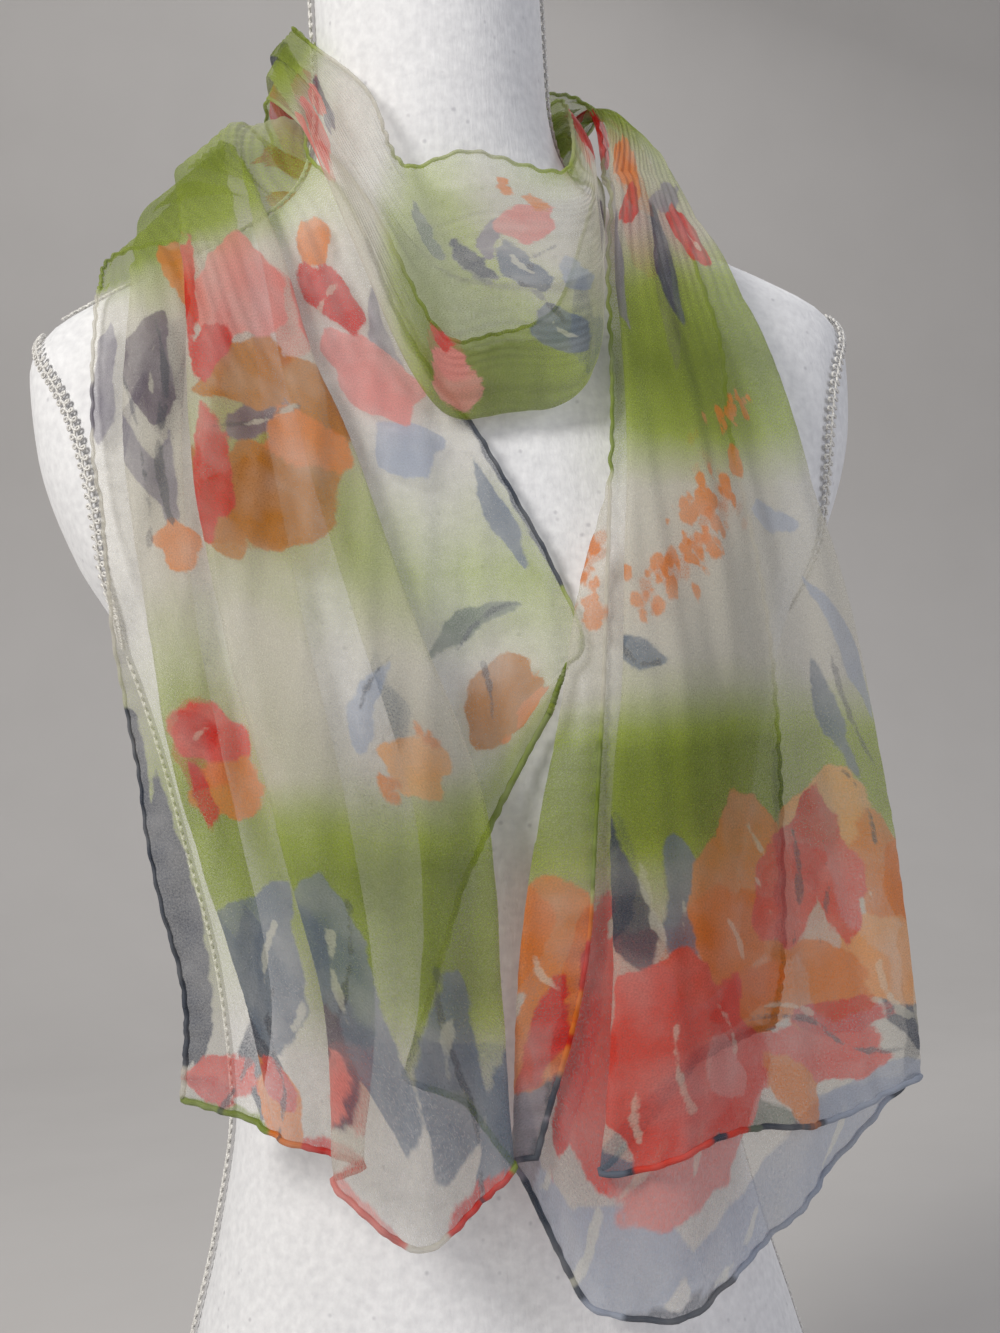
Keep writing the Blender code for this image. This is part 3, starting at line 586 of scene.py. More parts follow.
# How green the ground is in each band (0 is off-white, 1 green), at those places across.
GROUND_BANDS = [
    # along  at 0  100   200   300   400   500
    (0,     (0.10, 0.00, 0.00, 0.20, 0.40, 0.60)),
    (22,    (0.10, 0.05, 0.10, 0.35, 0.60, 0.80)),
    (50,    (0.30, 0.50, 0.80, 0.90, 0.90, 0.95)),
    (105,   (0.60, 0.80, 0.85, 0.90, 0.90, 0.95)),
    (128,   (0.60, 0.80, 0.65, 0.55, 0.60, 0.90)),
    (150,   (0.60, 0.75, 0.10, 0.08, 0.20, 0.60)),
    (185,   (0.30, 0.60, 0.05, 0.05, 0.15, 0.35)),
    (232,   (0.10, 0.20, 0.20, 0.45, 0.55, 0.75)),
    (270,   (0.00, 0.00, 0.30, 0.80, 0.20, 0.35)),
    (310,   (0.00, 0.00, 0.20, 0.60, 0.05, 0.00)),
    (350,   (0.00, 0.10, 0.10, 0.10, 0.00, 0.00)),
    (388,   (0.20, 0.60, 0.10, 0.10, 0.00, 0.00)),
    (415,   (0.80, 0.90, 0.60, 0.80, 0.60, 0.30)),
    (455,   (0.95, 0.95, 0.95, 0.95, 0.90, 0.80)),
    (500,   (0.60, 0.60, 0.80, 0.80, 0.30, 0.10)),
    (540,   (0.10, 0.10, 0.10, 0.10, 0.05, 0.05)),
    (590,   (0.20, 0.20, 0.20, 0.20, 0.20, 0.20)),
    (640,   (0.90, 0.90, 0.90, 0.90, 0.90, 0.90)),
    (705,   (0.95, 0.95, 0.80, 0.70, 0.70, 0.80)),
    (770,   (0.30, 0.30, 0.20, 0.20, 0.20, 0.40)),
    (830,   (0.50, 0.50, 0.20, 0.00, 0.00, 0.60)),
    (862,   (0.90, 0.95, 0.60, 0.15, 0.10, 0.80)),
    (895,   (1.00, 1.00, 1.05, 0.65, 0.25, 0.30)),
    (925,   (1.05, 0.90, 1.10, 1.15, 1.00, 0.80)),
    (955,   (0.60, 0.30, 0.80, 1.00, 0.50, 0.20)),
    (985,   (0.00, 0.00, 0.05, 0.05, 0.00, 0.00)),
    (1050,  (0.00, 0.00, 0.05, 0.10, 0.10, 0.10)),
    (1078,  (0.40, 0.50, 0.60, 0.80, 0.95, 0.95)),
    (1130,  (0.95, 0.95, 0.95, 0.95, 0.95, 0.95)),
    (1190,  (0.10, 0.10, 0.10, 0.10, 0.10, 0.10)),
    (1255,  (0.60, 0.60, 0.50, 0.50, 0.60, 0.60)),
    (1320,  (0.95, 0.95, 0.95, 0.95, 0.95, 0.95)),
    (1365,  (0.80, 0.70, 0.80, 0.80, 0.60, 0.60)),
    (1400,  (0.20, 0.20, 0.40, 0.50, 0.40, 0.40)),
    (1450,  (0.10, 0.10, 0.20, 0.30, 0.30, 0.30)),
    (1482,  (0.60, 0.70, 0.80, 0.80, 0.70, 0.60)),
    (1520,  (0.95, 0.95, 1.00, 0.95, 0.95, 0.95)),
    (1552,  (0.70, 0.60, 0.90, 0.70, 0.70, 0.90)),
    (1580,  (0.10, 0.10, 0.20, 0.10, 0.10, 0.20)),
    (1640,  (0.00, 0.00, 0.00, 0.00, 0.00, 0.00)),
    (1668,  (0.30, 0.30, 0.30, 0.15, 0.20, 0.10)),
    (1695,  (0.95, 0.90, 0.90, 0.70, 0.80, 0.90)),
    (1730,  (0.90, 0.85, 0.85, 0.80, 0.80, 0.90)),
    (1765,  (0.30, 0.30, 0.30, 0.30, 0.30, 0.40)),
    (1800,  (0.00, 0.00, 0.00, 0.00, 0.00, 0.10)),
    (1870,  (0.00, 0.00, 0.00, 0.00, 0.00, 0.00)),
]
PIGMENTS = {
    "red": "#D0200F", "coral": "#DE4A3A", "rose": "#E08C84", "orange": "#DF8126", "apricot": "#E8A765",
    "amber": "#B9771B", "mauve": "#6C5F6C", "dusk": "#8C8792", "slate": "#454D5C", "steel": "#727E8D",
    "mist": "#A9B1C1", "sage": "#6F7C6C", "leaf": "#8A9C3A",
}
# Petals of the open flowers: the middle of each, its half length and half width, and its turn in degrees.
PETALS = [
    # across along long wide turn pigment
    (152, 1768, 31, 25, 100, "orange"), (176, 1740, 27, 19, 60, "orange"),
    (226, 1731, 30, 18, -20, "apricot"),
    (252, 1760, 30, 22, 80, "orange"), (246, 1798, 30, 22, 50, "apricot"), (207, 1806, 32, 20, 0, "orange"),
    (166, 1806, 30, 19, -40, "orange"), (205, 1836, 34, 15, 15, "coral"), (186, 1848, 22, 12, 60, "orange"),
    (128, 1828, 40, 43, 0, "coral"), (150, 1843, 26, 24, 20, "coral"), (404, 1812, 50, 36, 0, "coral"),
    (330, 1770, 30, 22, 30, "orange"), (302, 1800, 28, 18, -40, "apricot"), (40, 1780, 34, 26, 20, "orange"),
    (20, 1822, 30, 20, 70, "coral"), (480, 1772, 26, 22, 80, "orange"), (487, 1815, 24, 17, 90, "orange"),
    (150, 1408, 36, 20, 25, "orange"), (60, 1420, 32, 18, -10, "orange"), (484, 1378, 40, 20, 0, "red"),
    (412, 1388, 36, 16, 10, "orange"), (300, 1352, 50, 14, 0, "coral"), (150, 1338, 60, 12, 0, "red"),
    (430, 1450, 30, 22, 20, "coral"), (350, 1440, 36, 18, 20, "red"),
    (286, 272, 44, 25, 8, "amber"), (252, 270, 20, 26, 0, "amber"), (318, 292, 30, 18, 20, "orange"),
    (312, 332, 38, 17, 12, "amber"), (346, 320, 20, 24, 30, "amber"), (205, 268, 34, 22, 0, "amber"),
    (330, 374, 38, 24, 15, "rose"), (178, 392, 15, 34, 15, "orange"), (184, 300, 18, 26, -10, "amber"),
    (105, 166, 21, 13, -12, "coral"), (108, 142, 21, 13, 10, "orange"), (118, 250, 14, 12, 0, "orange"),
    (310, 148, 19, 13, 20, "apricot"), (60, 160, 18, 20, 0, "coral"), (452, 168, 24, 22, 30, "amber"),
    (455, 330, 28, 24, -20, "rose"), (452, 398, 18, 10, 30, "orange"), (390, 360, 22, 24, 0, "rose"),
    (60, 12, 17, 17, 0, "orange"), (132, 24, 40, 9, 15, "rose"), (20, 14, 20, 10, 10, "coral"),
    (400, 752, 92, 34, -6, "red"), (250, 750, 70, 22, 10, "coral"), (172, 920, 44, 11, 4, "rose"),
    (176, 1044, 60, 20, 3, "rose"), (60, 1046, 60, 18, 3, "rose"), (290, 1050, 50, 12, 0, "rose"),
    (384, 882, 32, 12, -10, "rose"), (30, 925, 34, 11, 0, "rose"),
    (250, 1165, 120, 20, 0, "coral"), (60, 1140, 40, 24, 0, "red"), (420, 1250, 50, 22, 0, "orange"),
    (120, 560, 70, 20, 0, "orange"), (330, 540, 60, 18, 0, "red"), (430, 610, 40, 20, 0, "coral"),
]
# The darker petals folded over a flower's middle.
HEARTS = [
    (190, 1762, 27, 17, 115, "coral"), (212, 1744, 30, 15, 130, "red"), (224, 1764, 24, 14, 100, "coral"),
    (214, 1822, 28, 8, 5, "red"), (116, 1800, 20, 22, 30, "coral"), (490, 1815, 8, 26, 0, "red"),
    (445, 1800, 9, 44, -16, "red"), (152, 1437, 22, 11, -22, "red"), (250, 1452, 27, 17, 25, "red"),
    (256, 284, 11, 34, -30, "red"), (292, 344, 26, 8, 35, "red"), (290, 378, 7, 34, -18, "red"),
    (100, 168, 12, 8, -10, "red"), (93, 138, 5, 14, 0, "red"), (452, 372, 25, 14, -28, "red"),
    (224, 926, 14, 6, 10, "red"), (416, 876, 17, 5, 4, "orange"), (444, 889, 15, 4, 0, "orange"),
    (66, 20, 10, 8, 0, "red"), (430, 758, 55, 20, 0, "red"), (196, 350, 6, 30, -30, "red"),
    (145, 1835, 18, 9, 60, "rose"), (400, 1838, 30, 10, 0, "rose"), (16, 8, 14, 6, 0, "red"),
    (466, 155, 13, 8, 20, "orange"),
]
# Leaves: the middle, the half length and half width, the turn in degrees, and how far the midrib bows.
LEAVES = [
    # across along long wide turn bow pigment
    (104, 1758, 38, 12, 82, 5, "slate"), (122, 1762, 34, 11, 100, -5, "steel"),
    (258, 1824, 44, 13, 84, 4, "slate"),
    (166, 1862, 24, 12, 10, 2, "sage"), (236, 1594, 20, 7, 10, 2, "mist"), (246, 1690, 34, 5, 78, 3, "steel"),
    (258, 1660, 40, 7, 70, -4, "mist"), (330, 1862, 70, 22, -4, 4, "mist"), (440, 1858, 46, 15, 4, 3, "mist"),
    (226, 1864, 40, 14, 0, 2, "mist"), (486, 1852, 18, 26, 0, 0, "dusk"), (60, 1866, 60, 14, 0, 2, "steel"),
    (203, 1468, 36, 13, 82, 3, "slate"), (128, 1470, 34, 14, 70, 4, "dusk"),
    (236, 1425, 44, 10, -12, 4, "dusk"),
    (400, 1470, 50, 14, 80, 4, "mauve"), (52, 1480, 44, 14, 80, -4, "mauve"),
    (116, 1652, 16, 6, 20, 2, "steel"),
    (100, 66, 46, 22, 52, 6, "steel"), (52, 46, 44, 22, 80, -5, "slate"), (10, 85, 70, 11, 88, 2, "slate"),
    (206, 62, 52, 19, 62, 7, "steel"), (228, 36, 42, 11, 35, -4, "steel"), (168, 36, 44, 13, 24, 3, "mauve"),
    (262, 12, 48, 13, 8, 4, "steel"), (312, 12, 34, 16, 5, 2, "slate"), (384, 40, 40, 14, 80, 5, "steel"),
    (312, 309, 38, 9, 12, 3, "mauve"), (142, 336, 34, 16, 60, 6, "mauve"), (112, 300, 40, 8, 110, 5, "dusk"),
    (126, 280, 26, 6, 70, 3, "dusk"), (60, 330, 34, 18, 70, 4, "mauve"), (302, 174, 26, 6, 48, 3, "mist"),
    (452, 290, 26, 13, 15, 3, "mist"), (486, 262, 26, 7, 84, 2, "steel"), (442, 206, 32, 6, 22, 4, "sage"),
    (480, 345, 34, 8, 72, 4, "dusk"), (384, 176, 22, 10, 90, 2, "steel"), (10, 330, 30, 10, 80, 0, "dusk"),
    (226, 868, 40, 12, 14, 4, "steel"), (318, 886, 42, 10, 10, 4, "steel"), (300, 862, 34, 7, 10, 3, "mist"),
    (332, 908, 40, 5, 12, 2, "slate"), (384, 928, 44, 6, 6, 2, "sage"), (356, 898, 30, 5, -6, 3, "dusk"),
    (300, 1030, 40, 8, 0, 4, "dusk"), (240, 800, 80, 16, 8, 4, "mauve"), (90, 830, 70, 18, 4, 4, "steel"),
    (340, 1040, 46, 9, 20, 4, "mauve"), (160, 1180, 60, 20, 6, 5, "mauve"),
    (360, 1120, 60, 18, 4, 5, "slate"),
    (200, 600, 70, 18, 6, 5, "mauve"), (60, 650, 60, 20, 8, 5, "steel"), (380, 660, 60, 16, 4, 5, "slate"),
]
# Stems and pen strokes: from one end to the other, half the width, and how far the middle bows.
STROKES = [
    # across0 along0 across1 along1 wide bow
    (118, 262, 136, 312, 1.4, 6), (136, 312, 150, 360, 1.8, -4), (120, 272, 146, 330, 1.1, 5),
    (98, 250, 116, 330, 0.9, -6), (430, 196, 468, 218, 1.2, 4), (444, 190, 440, 160, 1.0, 3),
    (232, 870, 300, 896, 1.3, -4), (290, 902, 348, 914, 1.6, 3), (300, 884, 350, 872, 1.0, 5),
    (250, 1650, 262, 1710, 1.4, 5), (243, 1712, 249, 1745, 1.2, -4), (104, 1648, 126, 1658, 1.3, 4),
    (192, 1442, 204, 1500, 2.2, 3), (150, 1820, 205, 1824, 0.9, -5), (205, 1824, 245, 1848, 0.9, 4),
    (190, 1785, 205, 1735, 0.7, 3), (206, 1788, 222, 1740, 0.6, 2), (296, 172, 320, 196, 0.9, 2),
    (270, 305, 340, 318, 0.8, -3), (70, 30, 60, 90, 1.2, 4), (152, 30, 232, 92, 1.0, -8),
    (60, 0, 100, 60, 1.1, 5), (20, 0, 50, 60, 1.0, -4), (216, 0, 250, 60, 0.9, 4),
]
# Marks left undyed.
RESERVED = [
    (118, 1812, 130, 1850, 1.0, 3), (140, 1806, 152, 1830, 1.2, -2), (106, 1835, 112, 1862, 1.2, 2),
    (180, 1785, 176, 1755, 0.8, 2), (232, 1752, 238, 1776, 1.0, -2), (160, 1790, 150, 1770, 1.0, 2),
    (238, 1800, 252, 1832, 1.6, 3), (172, 1812, 200, 1818, 1.0, -2), (262, 1805, 258, 1846, 1.2, 2),
    (112, 1742, 116, 1782, 1.3, 2), (128, 1748, 120, 1780, 0.9, -2), (176, 1730, 184, 1744, 2.2, 0),
    (388, 1800, 396, 1838, 1.4, 2), (410, 1830, 424, 1842, 1.3, 1), (432, 1846, 440, 1868, 1.5, 2),
    (300, 1852, 312, 1866, 1.3, 2), (354, 1858, 380, 1866, 1.4, 2), (460, 1850, 470, 1862, 1.2, 1),
    (88, 52, 112, 84, 1.6, 3), (96, 40, 118, 60, 1.0, -2), (50, 28, 58, 66, 1.5, 3),
    (186, 40, 214, 80, 1.4, 3), (200, 66, 212, 82, 1.2, -2), (222, 30, 250, 46, 0.9, 2),
    (290, 306, 332, 316, 0.8, -2), (132, 322, 146, 348, 1.0, 2), (212, 864, 240, 876, 1.2, 2),
    (300, 882, 336, 892, 1.2, 2), (478, 1780, 490, 1794, 1.6, 2), (96, 164, 112, 170, 0.9, 1),
    (246, 1446, 262, 1462, 0.8, 1), (440, 364, 462, 378, 0.7, 1),
]
# Sprays of small florets: from one end to the other, half the spray's width, and how many florets.
SPRAYS = [
    (196, 1556, 254, 1538, 7, 20), (150, 1598, 222, 1566, 8, 34), (112, 1632, 186, 1600, 12, 54),
    (480, 1600, 494, 1640, 11, 26), (20, 1590, 90, 1630, 9, 26), (360, 1600, 420, 1560, 9, 30),
    (286, 136, 330, 158, 8, 20), (440, 150, 472, 178, 9, 22),
]
FLORET = 3.2


def blob(across, along_cloth, middle, long, wide, turn, kind):
    """How far inside a rounded petal each place is, in millimetres: its outline has a few slow lobes."""
    a, b = np.radians(turn), 1.7 * kind
    u = (across - middle[0]) * np.cos(a) + (along_cloth - middle[1]) * np.sin(a)
    v = (along_cloth - middle[1]) * np.cos(a) - (across - middle[0]) * np.sin(a)
    size = np.hypot(u / long, v / wide)
    angle = np.arctan2(v / wide, u / long)
    outline = (
        1 + 0.09 * np.sin(3 * angle + b) + 0.06 * np.sin(5 * angle + 2 * b) + 0.03 * np.sin(9 * angle + b)
    )
    return (outline - size) * min(long, wide)


def blade(across, along_cloth, middle, long, wide, turn, bow):
    """How far inside a pointed leaf each place is, in millimetres."""
    a = np.radians(turn)
    u = ((across - middle[0]) * np.cos(a) + (along_cloth - middle[1]) * np.sin(a)) / long
    v = (along_cloth - middle[1]) * np.cos(a) - (across - middle[0]) * np.sin(a)
    inside = np.clip(1 - u * u, 0, 1)
    half = wide * inside**0.8 * (1 + 0.16 * np.sin(4.2 * u + turn)) * (1 - 0.25 * u)
    return np.where(np.abs(u) < 1, half - np.abs(v - bow * inside), -np.hypot(v, (np.abs(u) - 1) * long))


def stroke(across, along_cloth, start, end, wide, bow):
    """How far inside a brush stroke each place is, in millimetres."""
    span = np.array(end, float) - start
    length = np.hypot(*span)
    u = ((across - start[0]) * span[0] + (along_cloth - start[1]) * span[1]) / length**2
    v = ((along_cloth - start[1]) * span[0] - (across - start[0]) * span[1]) / length
    share = np.clip(u, 0, 1)
    bend = bow * 4 * share * (1 - share)
    past = (u - share) * length
    return wide * (0.55 + 0.9 * np.sqrt(share * (1 - share))) - np.hypot(v - bend, past)


# Dye that runs along an edge of the cloth and shows strongest in its hem: from one place to the other.
EDGE_DYES = [
    # across0 along0 across1 along1 wide pigment
    (0, 20, 0, 175, 7, "slate"), (0, 0, 60, 0, 4, "leaf"),
    (60, 0, 116, 0, 4, "red"), (120, 0, 170, 0, 3, "rose"),
    (196, 0, 232, 0, 5, "red"), (236, 0, 300, 0, 4, "leaf"), (420, 0, 500, 0, 5, "leaf"),
    (500, 20, 500, 150, 6, "leaf"), (500, 230, 500, 400, 4, "slate"), (500, 150, 500, 200, 3, "leaf"),
    (0, 1470, 0, 1560, 4, "leaf"), (0, 1700, 0, 1870, 6, "slate"), (0, 1870, 70, 1870, 8, "slate"),
    (70, 1870, 150, 1870, 5, "slate"), (150, 1870, 250, 1870, 8, "slate"), (250, 1870, 330, 1870, 7, "slate"),
    (330, 1870, 400, 1870, 6, "slate"), (400, 1870, 500, 1870, 8, "slate"),
    (500, 1830, 500, 1870, 9, "slate"),
    (500, 1770, 500, 1832, 6, "red"), (500, 1690, 500, 1750, 4, "leaf"), (500, 1500, 500, 1570, 4, "leaf"),
]


def florets():
    """The middles of the sprays' florets, each thrown a little off its place by a fixed scatter."""
    scatter = np.random.default_rng(7)
    for a0, l0, a1, l1, wide, count in SPRAYS:
        across_span, along_span = a1 - a0, l1 - l0
        length = np.hypot(across_span, along_span)
        for share, off in zip(scatter.random(count), scatter.normal(0, 0.55, count)):
            x = a0 + across_span * share - along_span / length * off * wide
            y = l0 + along_span * share + across_span / length * off * wide
            yield x, y, FLORET * (0.6 + 0.8 * scatter.random())


def on_top(layer, dye, values, pigment):
    """Paints one motif over a layer: its edge where it reaches furthest in, and its dye there."""
    wins = values > layer
    layer[wins] = values[wins]
    dye[wins] = linear(PIGMENTS[pigment])[:3]


def printed(across, along_cloth):
    """The print's fields over the cloth: how green the ground is, and each layer's edges and dye."""
    x, y = across / MM, along_cloth / MM
    bands = np.array([row[1] for row in GROUND_BANDS])
    down = np.array([row[0] for row in GROUND_BANDS], float)
    rows = np.stack([np.interp(y[:, 0], down, bands[:, k]) for k in range(len(GROUND_ACROSS))], axis=1)
    ground = np.array([np.interp(x[0], GROUND_ACROSS, row) for row in rows])
    edges = {word: np.full(x.shape, -50.0) for word in ("leaf", "petal", "heart", "line", "light")}
    dyes = {word: np.zeros(x.shape + (3,)) for word in ("leaf", "petal", "heart")}
    for a, l, long, wide, turn, bow, pigment in LEAVES:
        on_top(edges["leaf"], dyes["leaf"], blade(x, y, (a, l), long, wide, turn, bow), pigment)
    for a0, l0, a1, l1, wide, pigment in EDGE_DYES:
        on_top(edges["leaf"], dyes["leaf"], stroke(x, y, (a0, l0), (a1, l1), wide, 0), pigment)
    for index, (a, l, long, wide, turn, pigment) in enumerate(PETALS):
        on_top(edges["petal"], dyes["petal"], blob(x, y, (a, l), long, wide, turn, index), pigment)
    for index, (a, l, size) in enumerate(florets()):
        floret = blob(x, y, (a, l), size, 0.8 * size, 40 * index, index)
        on_top(edges["petal"], dyes["petal"], floret, "orange")
    for index, (a, l, long, wide, turn, pigment) in enumerate(HEARTS):
        on_top(edges["heart"], dyes["heart"], blob(x, y, (a, l), long, wide, turn, index + 3), pigment)
    for word, table in (("line", STROKES), ("light", RESERVED)):
        for a0, l0, a1, l1, wide, bow in table:
            edges[word] = np.maximum(edges[word], stroke(x, y, (a0, l0), (a1, l1), wide, bow))
    fields = {"ground": ground}
    fields.update({f"{word}_edge": np.maximum(values, -20.0) * MM for word, values in edges.items()})
    fields.update({f"{word}_dye": values for word, values in dyes.items()})
    return fields


# ---------------------------------------------------------------- making the cloth
HEM_RADIUS = 0.0009
END_HEM_RADIUS = 0.0014
HEM_SIDES = 8


def hem_route(points, name):
    """The cloth's free edges in this stretch, each as rows and columns of its net."""
    rows, columns_ = points.shape[0], points.shape[1]
    down, over = np.arange(rows), np.arange(columns_)
    low = np.stack([down, np.zeros(rows, int)], axis=1)
    high = np.stack([down, np.full(rows, columns_ - 1)], axis=1)
    if name == "scarf_left_tail":
        foot = np.stack([np.zeros(columns_, int), over], axis=1)
        return [np.concatenate([low[:0:-1], foot, high[1:]])]
    if name == "scarf_right_tail":
        foot = np.stack([np.full(columns_, rows - 1), over], axis=1)
        return [np.concatenate([low[:-1], foot, high[-2::-1]])]
    return [low, high]


def make_cloth(cloth_paint, hem_paint):
    points, across, along_cloth, ends = strip_surface()
    normals = net_normals(points)
    fields = printed(across, along_cloth)
    made = {}
    for name, (first, last) in ends.items():
        rows = slice(first, last + 1)
        piece = net(name.replace("scarf", "chiffon"), points[rows])
        piece.data.normals_split_custom_set_from_vertices(normals[rows].reshape(-1, 3).tolist())
        place = np.stack([across[rows], along_cloth[rows], 0 * across[rows]], axis=-1)
        set_attribute(piece, "place", place.reshape(-1, 3))
        for field, values in fields.items():
            part = values[rows]
            set_attribute(piece, field, part.reshape(-1, *part.shape[2:]))
        finish_piece(piece, cloth_paint, [name])
        hems = []
        for index, route in enumerate(hem_route(points[rows], name)):
            at = tuple(route.T)
            line = points[rows][at]
            keep = np.concatenate([[True], np.linalg.norm(np.diff(line, axis=0), axis=1) > 2e-4])
            at = tuple(axis[keep] for axis in at)
            line = line[keep]
            count = np.arange(len(line))
            from_end = np.minimum(along_cloth[rows][at], along_cloth[-1, 0] - along_cloth[rows][at])
            thick = END_HEM_RADIUS + (HEM_RADIUS - END_HEM_RADIUS) * ramp(from_end, 0.0, 0.12)
            uneven = 1 + 0.14 * np.sin(count * 1.7) * np.sin(count * 0.23)
            rings = cord_rings(line, thick * uneven, HEM_SIDES)
            hem = net(f"rolled_hem_{name.replace('scarf_', '')}_{index}", rings, close_columns=True, caps=True)
            for field, values in dict(fields, place=place).items():
                source = values[at] if field == "place" else values[rows][at]
                repeated = np.repeat(source[:, None], HEM_SIDES, axis=1)
                set_attribute(hem, field, repeated.reshape(-1, *repeated.shape[2:]))
            finish_piece(hem, hem_paint)
            hems.append(hem)
        made[name] = (piece, hems, along_cloth[last, 0] - along_cloth[first, 0])
    return made

# ---------------------------------------------------------------- the form and its braid
FORM_AROUND = 180
FORM_STEP = 0.005


def form_outline(height, shrink=0.0):
    half, front, back, square = smooth_columns(FORM_SECTIONS, np.array(height))
    turn = np.linspace(0, 2 * np.pi, FORM_AROUND, endpoint=False)
    c, s = np.cos(turn), np.sin(turn)
    x = np.sign(c) * np.abs(c) ** (2 / square)
    y = np.sign(s) * np.abs(s) ** (2 / square)
    points = np.stack([half * x, np.where(s < 0, front, back) * y, np.full_like(x, height)], axis=-1)
    points[:, 1] -= np.where(s < 0, bust_rise(points[:, 0], height) * np.sqrt(np.abs(y)), 0.0)
    points[:, :2] *= 1 - shrink
    return points


def make_form(paint):
    """The padded form under its fitted knit cover, with a turned edge at the neck and underside."""
    rings = [form_outline(0.0, 0.04), form_outline(0.0, 0.012), form_outline(0.0008, 0.004)]
    rings += [form_outline(h) for h in np.arange(0.003, FORM_HEIGHT - NECK_EDGE, FORM_STEP)]
    for turn in np.radians(np.linspace(0, 90, 7)):
        shrink = NECK_EDGE * (1 - np.cos(turn)) / NECK_RADIUS
        rings.append(form_outline(FORM_HEIGHT - NECK_EDGE * (1 - np.sin(turn)), shrink))
    form = net("knit_covered_form", np.array(rings), close_columns=True, caps=True)
    finish_piece(form, paint, ["form_body"])


def on_side(y, z, side):
    """The place on the form's side with this depth and height."""
    half, front, back, square = smooth_columns(FORM_SECTIONS, np.array(z))
    depth = front if y < 0 else back
    return np.array([side * half * (1 - min(abs(y) / depth, 1) ** square) ** (1 / square), y, z])


ARMHOLE = dict(y=0.000, z=0.533, deep=0.056, tall=0.070)
LOOP_PITCH = 0.0046
LOOP_POINTS = 12
GIMP_RADIUS = 0.00062
GIMP_SIDES = 5


def spaced(route, closed):
    """The route with a whole number of loops along it, and its points spread evenly."""
    if closed:
        route = np.concatenate([route, route[:1]])
    reach = np.concatenate([[0], np.cumsum(np.linalg.norm(np.diff(route, axis=0), axis=1))])
    loops = int(round(reach[-1] / LOOP_PITCH))
    places = np.linspace(0, reach[-1], loops * LOOP_POINTS + 1)
    if closed:
        places = places[:-1]
    return np.stack([np.interp(places, reach, route[:, k]) for k in range(3)], axis=-1)


def make_gimp(name, route, paint, closed=False):
    """Two gimp cords that loop along the two edges of the braid and cross in its middle."""
    base = spaced(np.array(route), closed)
    ahead = np.roll(base, -1, axis=0) - np.roll(base, 1, axis=0)
    if not closed:
        ahead[0], ahead[-1] = base[1] - base[0], base[-1] - base[-2]
    ahead = unit(ahead)
    normal = outward(base)
    sideways = unit(np.cross(ahead, normal))
    turn = 2 * np.pi * np.arange(len(base)) / LOOP_POINTS
    low, high = 4 * GAP + GIMP_RADIUS, 4 * GAP + BRAID_HEIGHT - GIMP_RADIUS
    reach = BRAID_WIDTH / 2 - GIMP_RADIUS
    joined = []
    for hand, lag in ((1, 0.0), (-1, np.pi)):
        angle = turn + lag
        out = hand * reach * (0.46 - 0.54 * np.cos(angle))
        slip = 0.42 * LOOP_PITCH * np.sin(angle)
        height = 0.5 * (low + high) + 0.5 * (high - low) * np.cos(angle + hand * 0.8)
        cord = base + sideways * out[:, None] + ahead * slip[:, None] + normal * height[:, None]
        joined.append(cord_rings(cord, GIMP_RADIUS, GIMP_SIDES, closed))
    pieces = [
        net(f"{name}_{index}", rings, close_rows=closed, close_columns=True, caps=not closed)
        for index, rings in enumerate(joined)
    ]
    for other in pieces[1:]:
        join(pieces[0], other)
    braid = pieces[0]
    braid.name = name
    finish_piece(braid, paint, [name.replace("gimp_", "braid_")])


def join(keep, other):
    """Adds the other piece's mesh to the first and removes the other."""
    both = bmesh.new()
    both.from_mesh(keep.data)
    both.from_mesh(other.data)
    both.to_mesh(keep.data)
    both.free()
    bpy.data.objects.remove(other, do_unlink=True)


def make_trims(paint):
    for word, side in (("left", -1), ("right", 1)):
        down = [on_side(0.0, z, side) for z in np.linspace(FORM_HEIGHT - 0.010, 0.612, 90)]
        make_gimp(f"gimp_shoulder_{word}", down, paint)
        ring = [
            on_side(
                ARMHOLE["y"] + ARMHOLE["deep"] * np.sin(a) * (1 - 0.12 * np.cos(a)),
                ARMHOLE["z"] + ARMHOLE["tall"] * np.cos(a),
                side,
            )
            for a in np.linspace(0, 2 * np.pi, 120, endpoint=False)
        ]
        make_gimp(f"gimp_armhole_{word}", ring, paint, closed=True)
        seam = [on_side(0.0, z, side) for z in np.linspace(0.456, 0.004, 90)]
        make_gimp(f"gimp_side_{word}", seam, paint)


# ---------------------------------------------------------------- finishes
def add(tree, kind, inputs=None, **settings):
    """A new node with its settings, its input values and the sockets that feed it."""
    node = tree.nodes.new(kind)
    for key, value in settings.items():
        setattr(node, key, value)
    for key, value in (inputs or {}).items():
        if isinstance(value, bpy.types.NodeSocket):
            tree.links.new(value, node.inputs[key])
        else:
            node.inputs[key].default_value = value
    return node


def new_paint(name):
    paint = bpy.data.materials.new(name)
    paint.use_nodes = True
    paint.node_tree.nodes.clear()
    return paint, paint.node_tree


OFF_WHITE, GREEN, OLIVE = "#D6D2C6", "#A5B548", "#7F8E2E"
GROUND_COVER, DYE_COVER = 0.40, 0.26


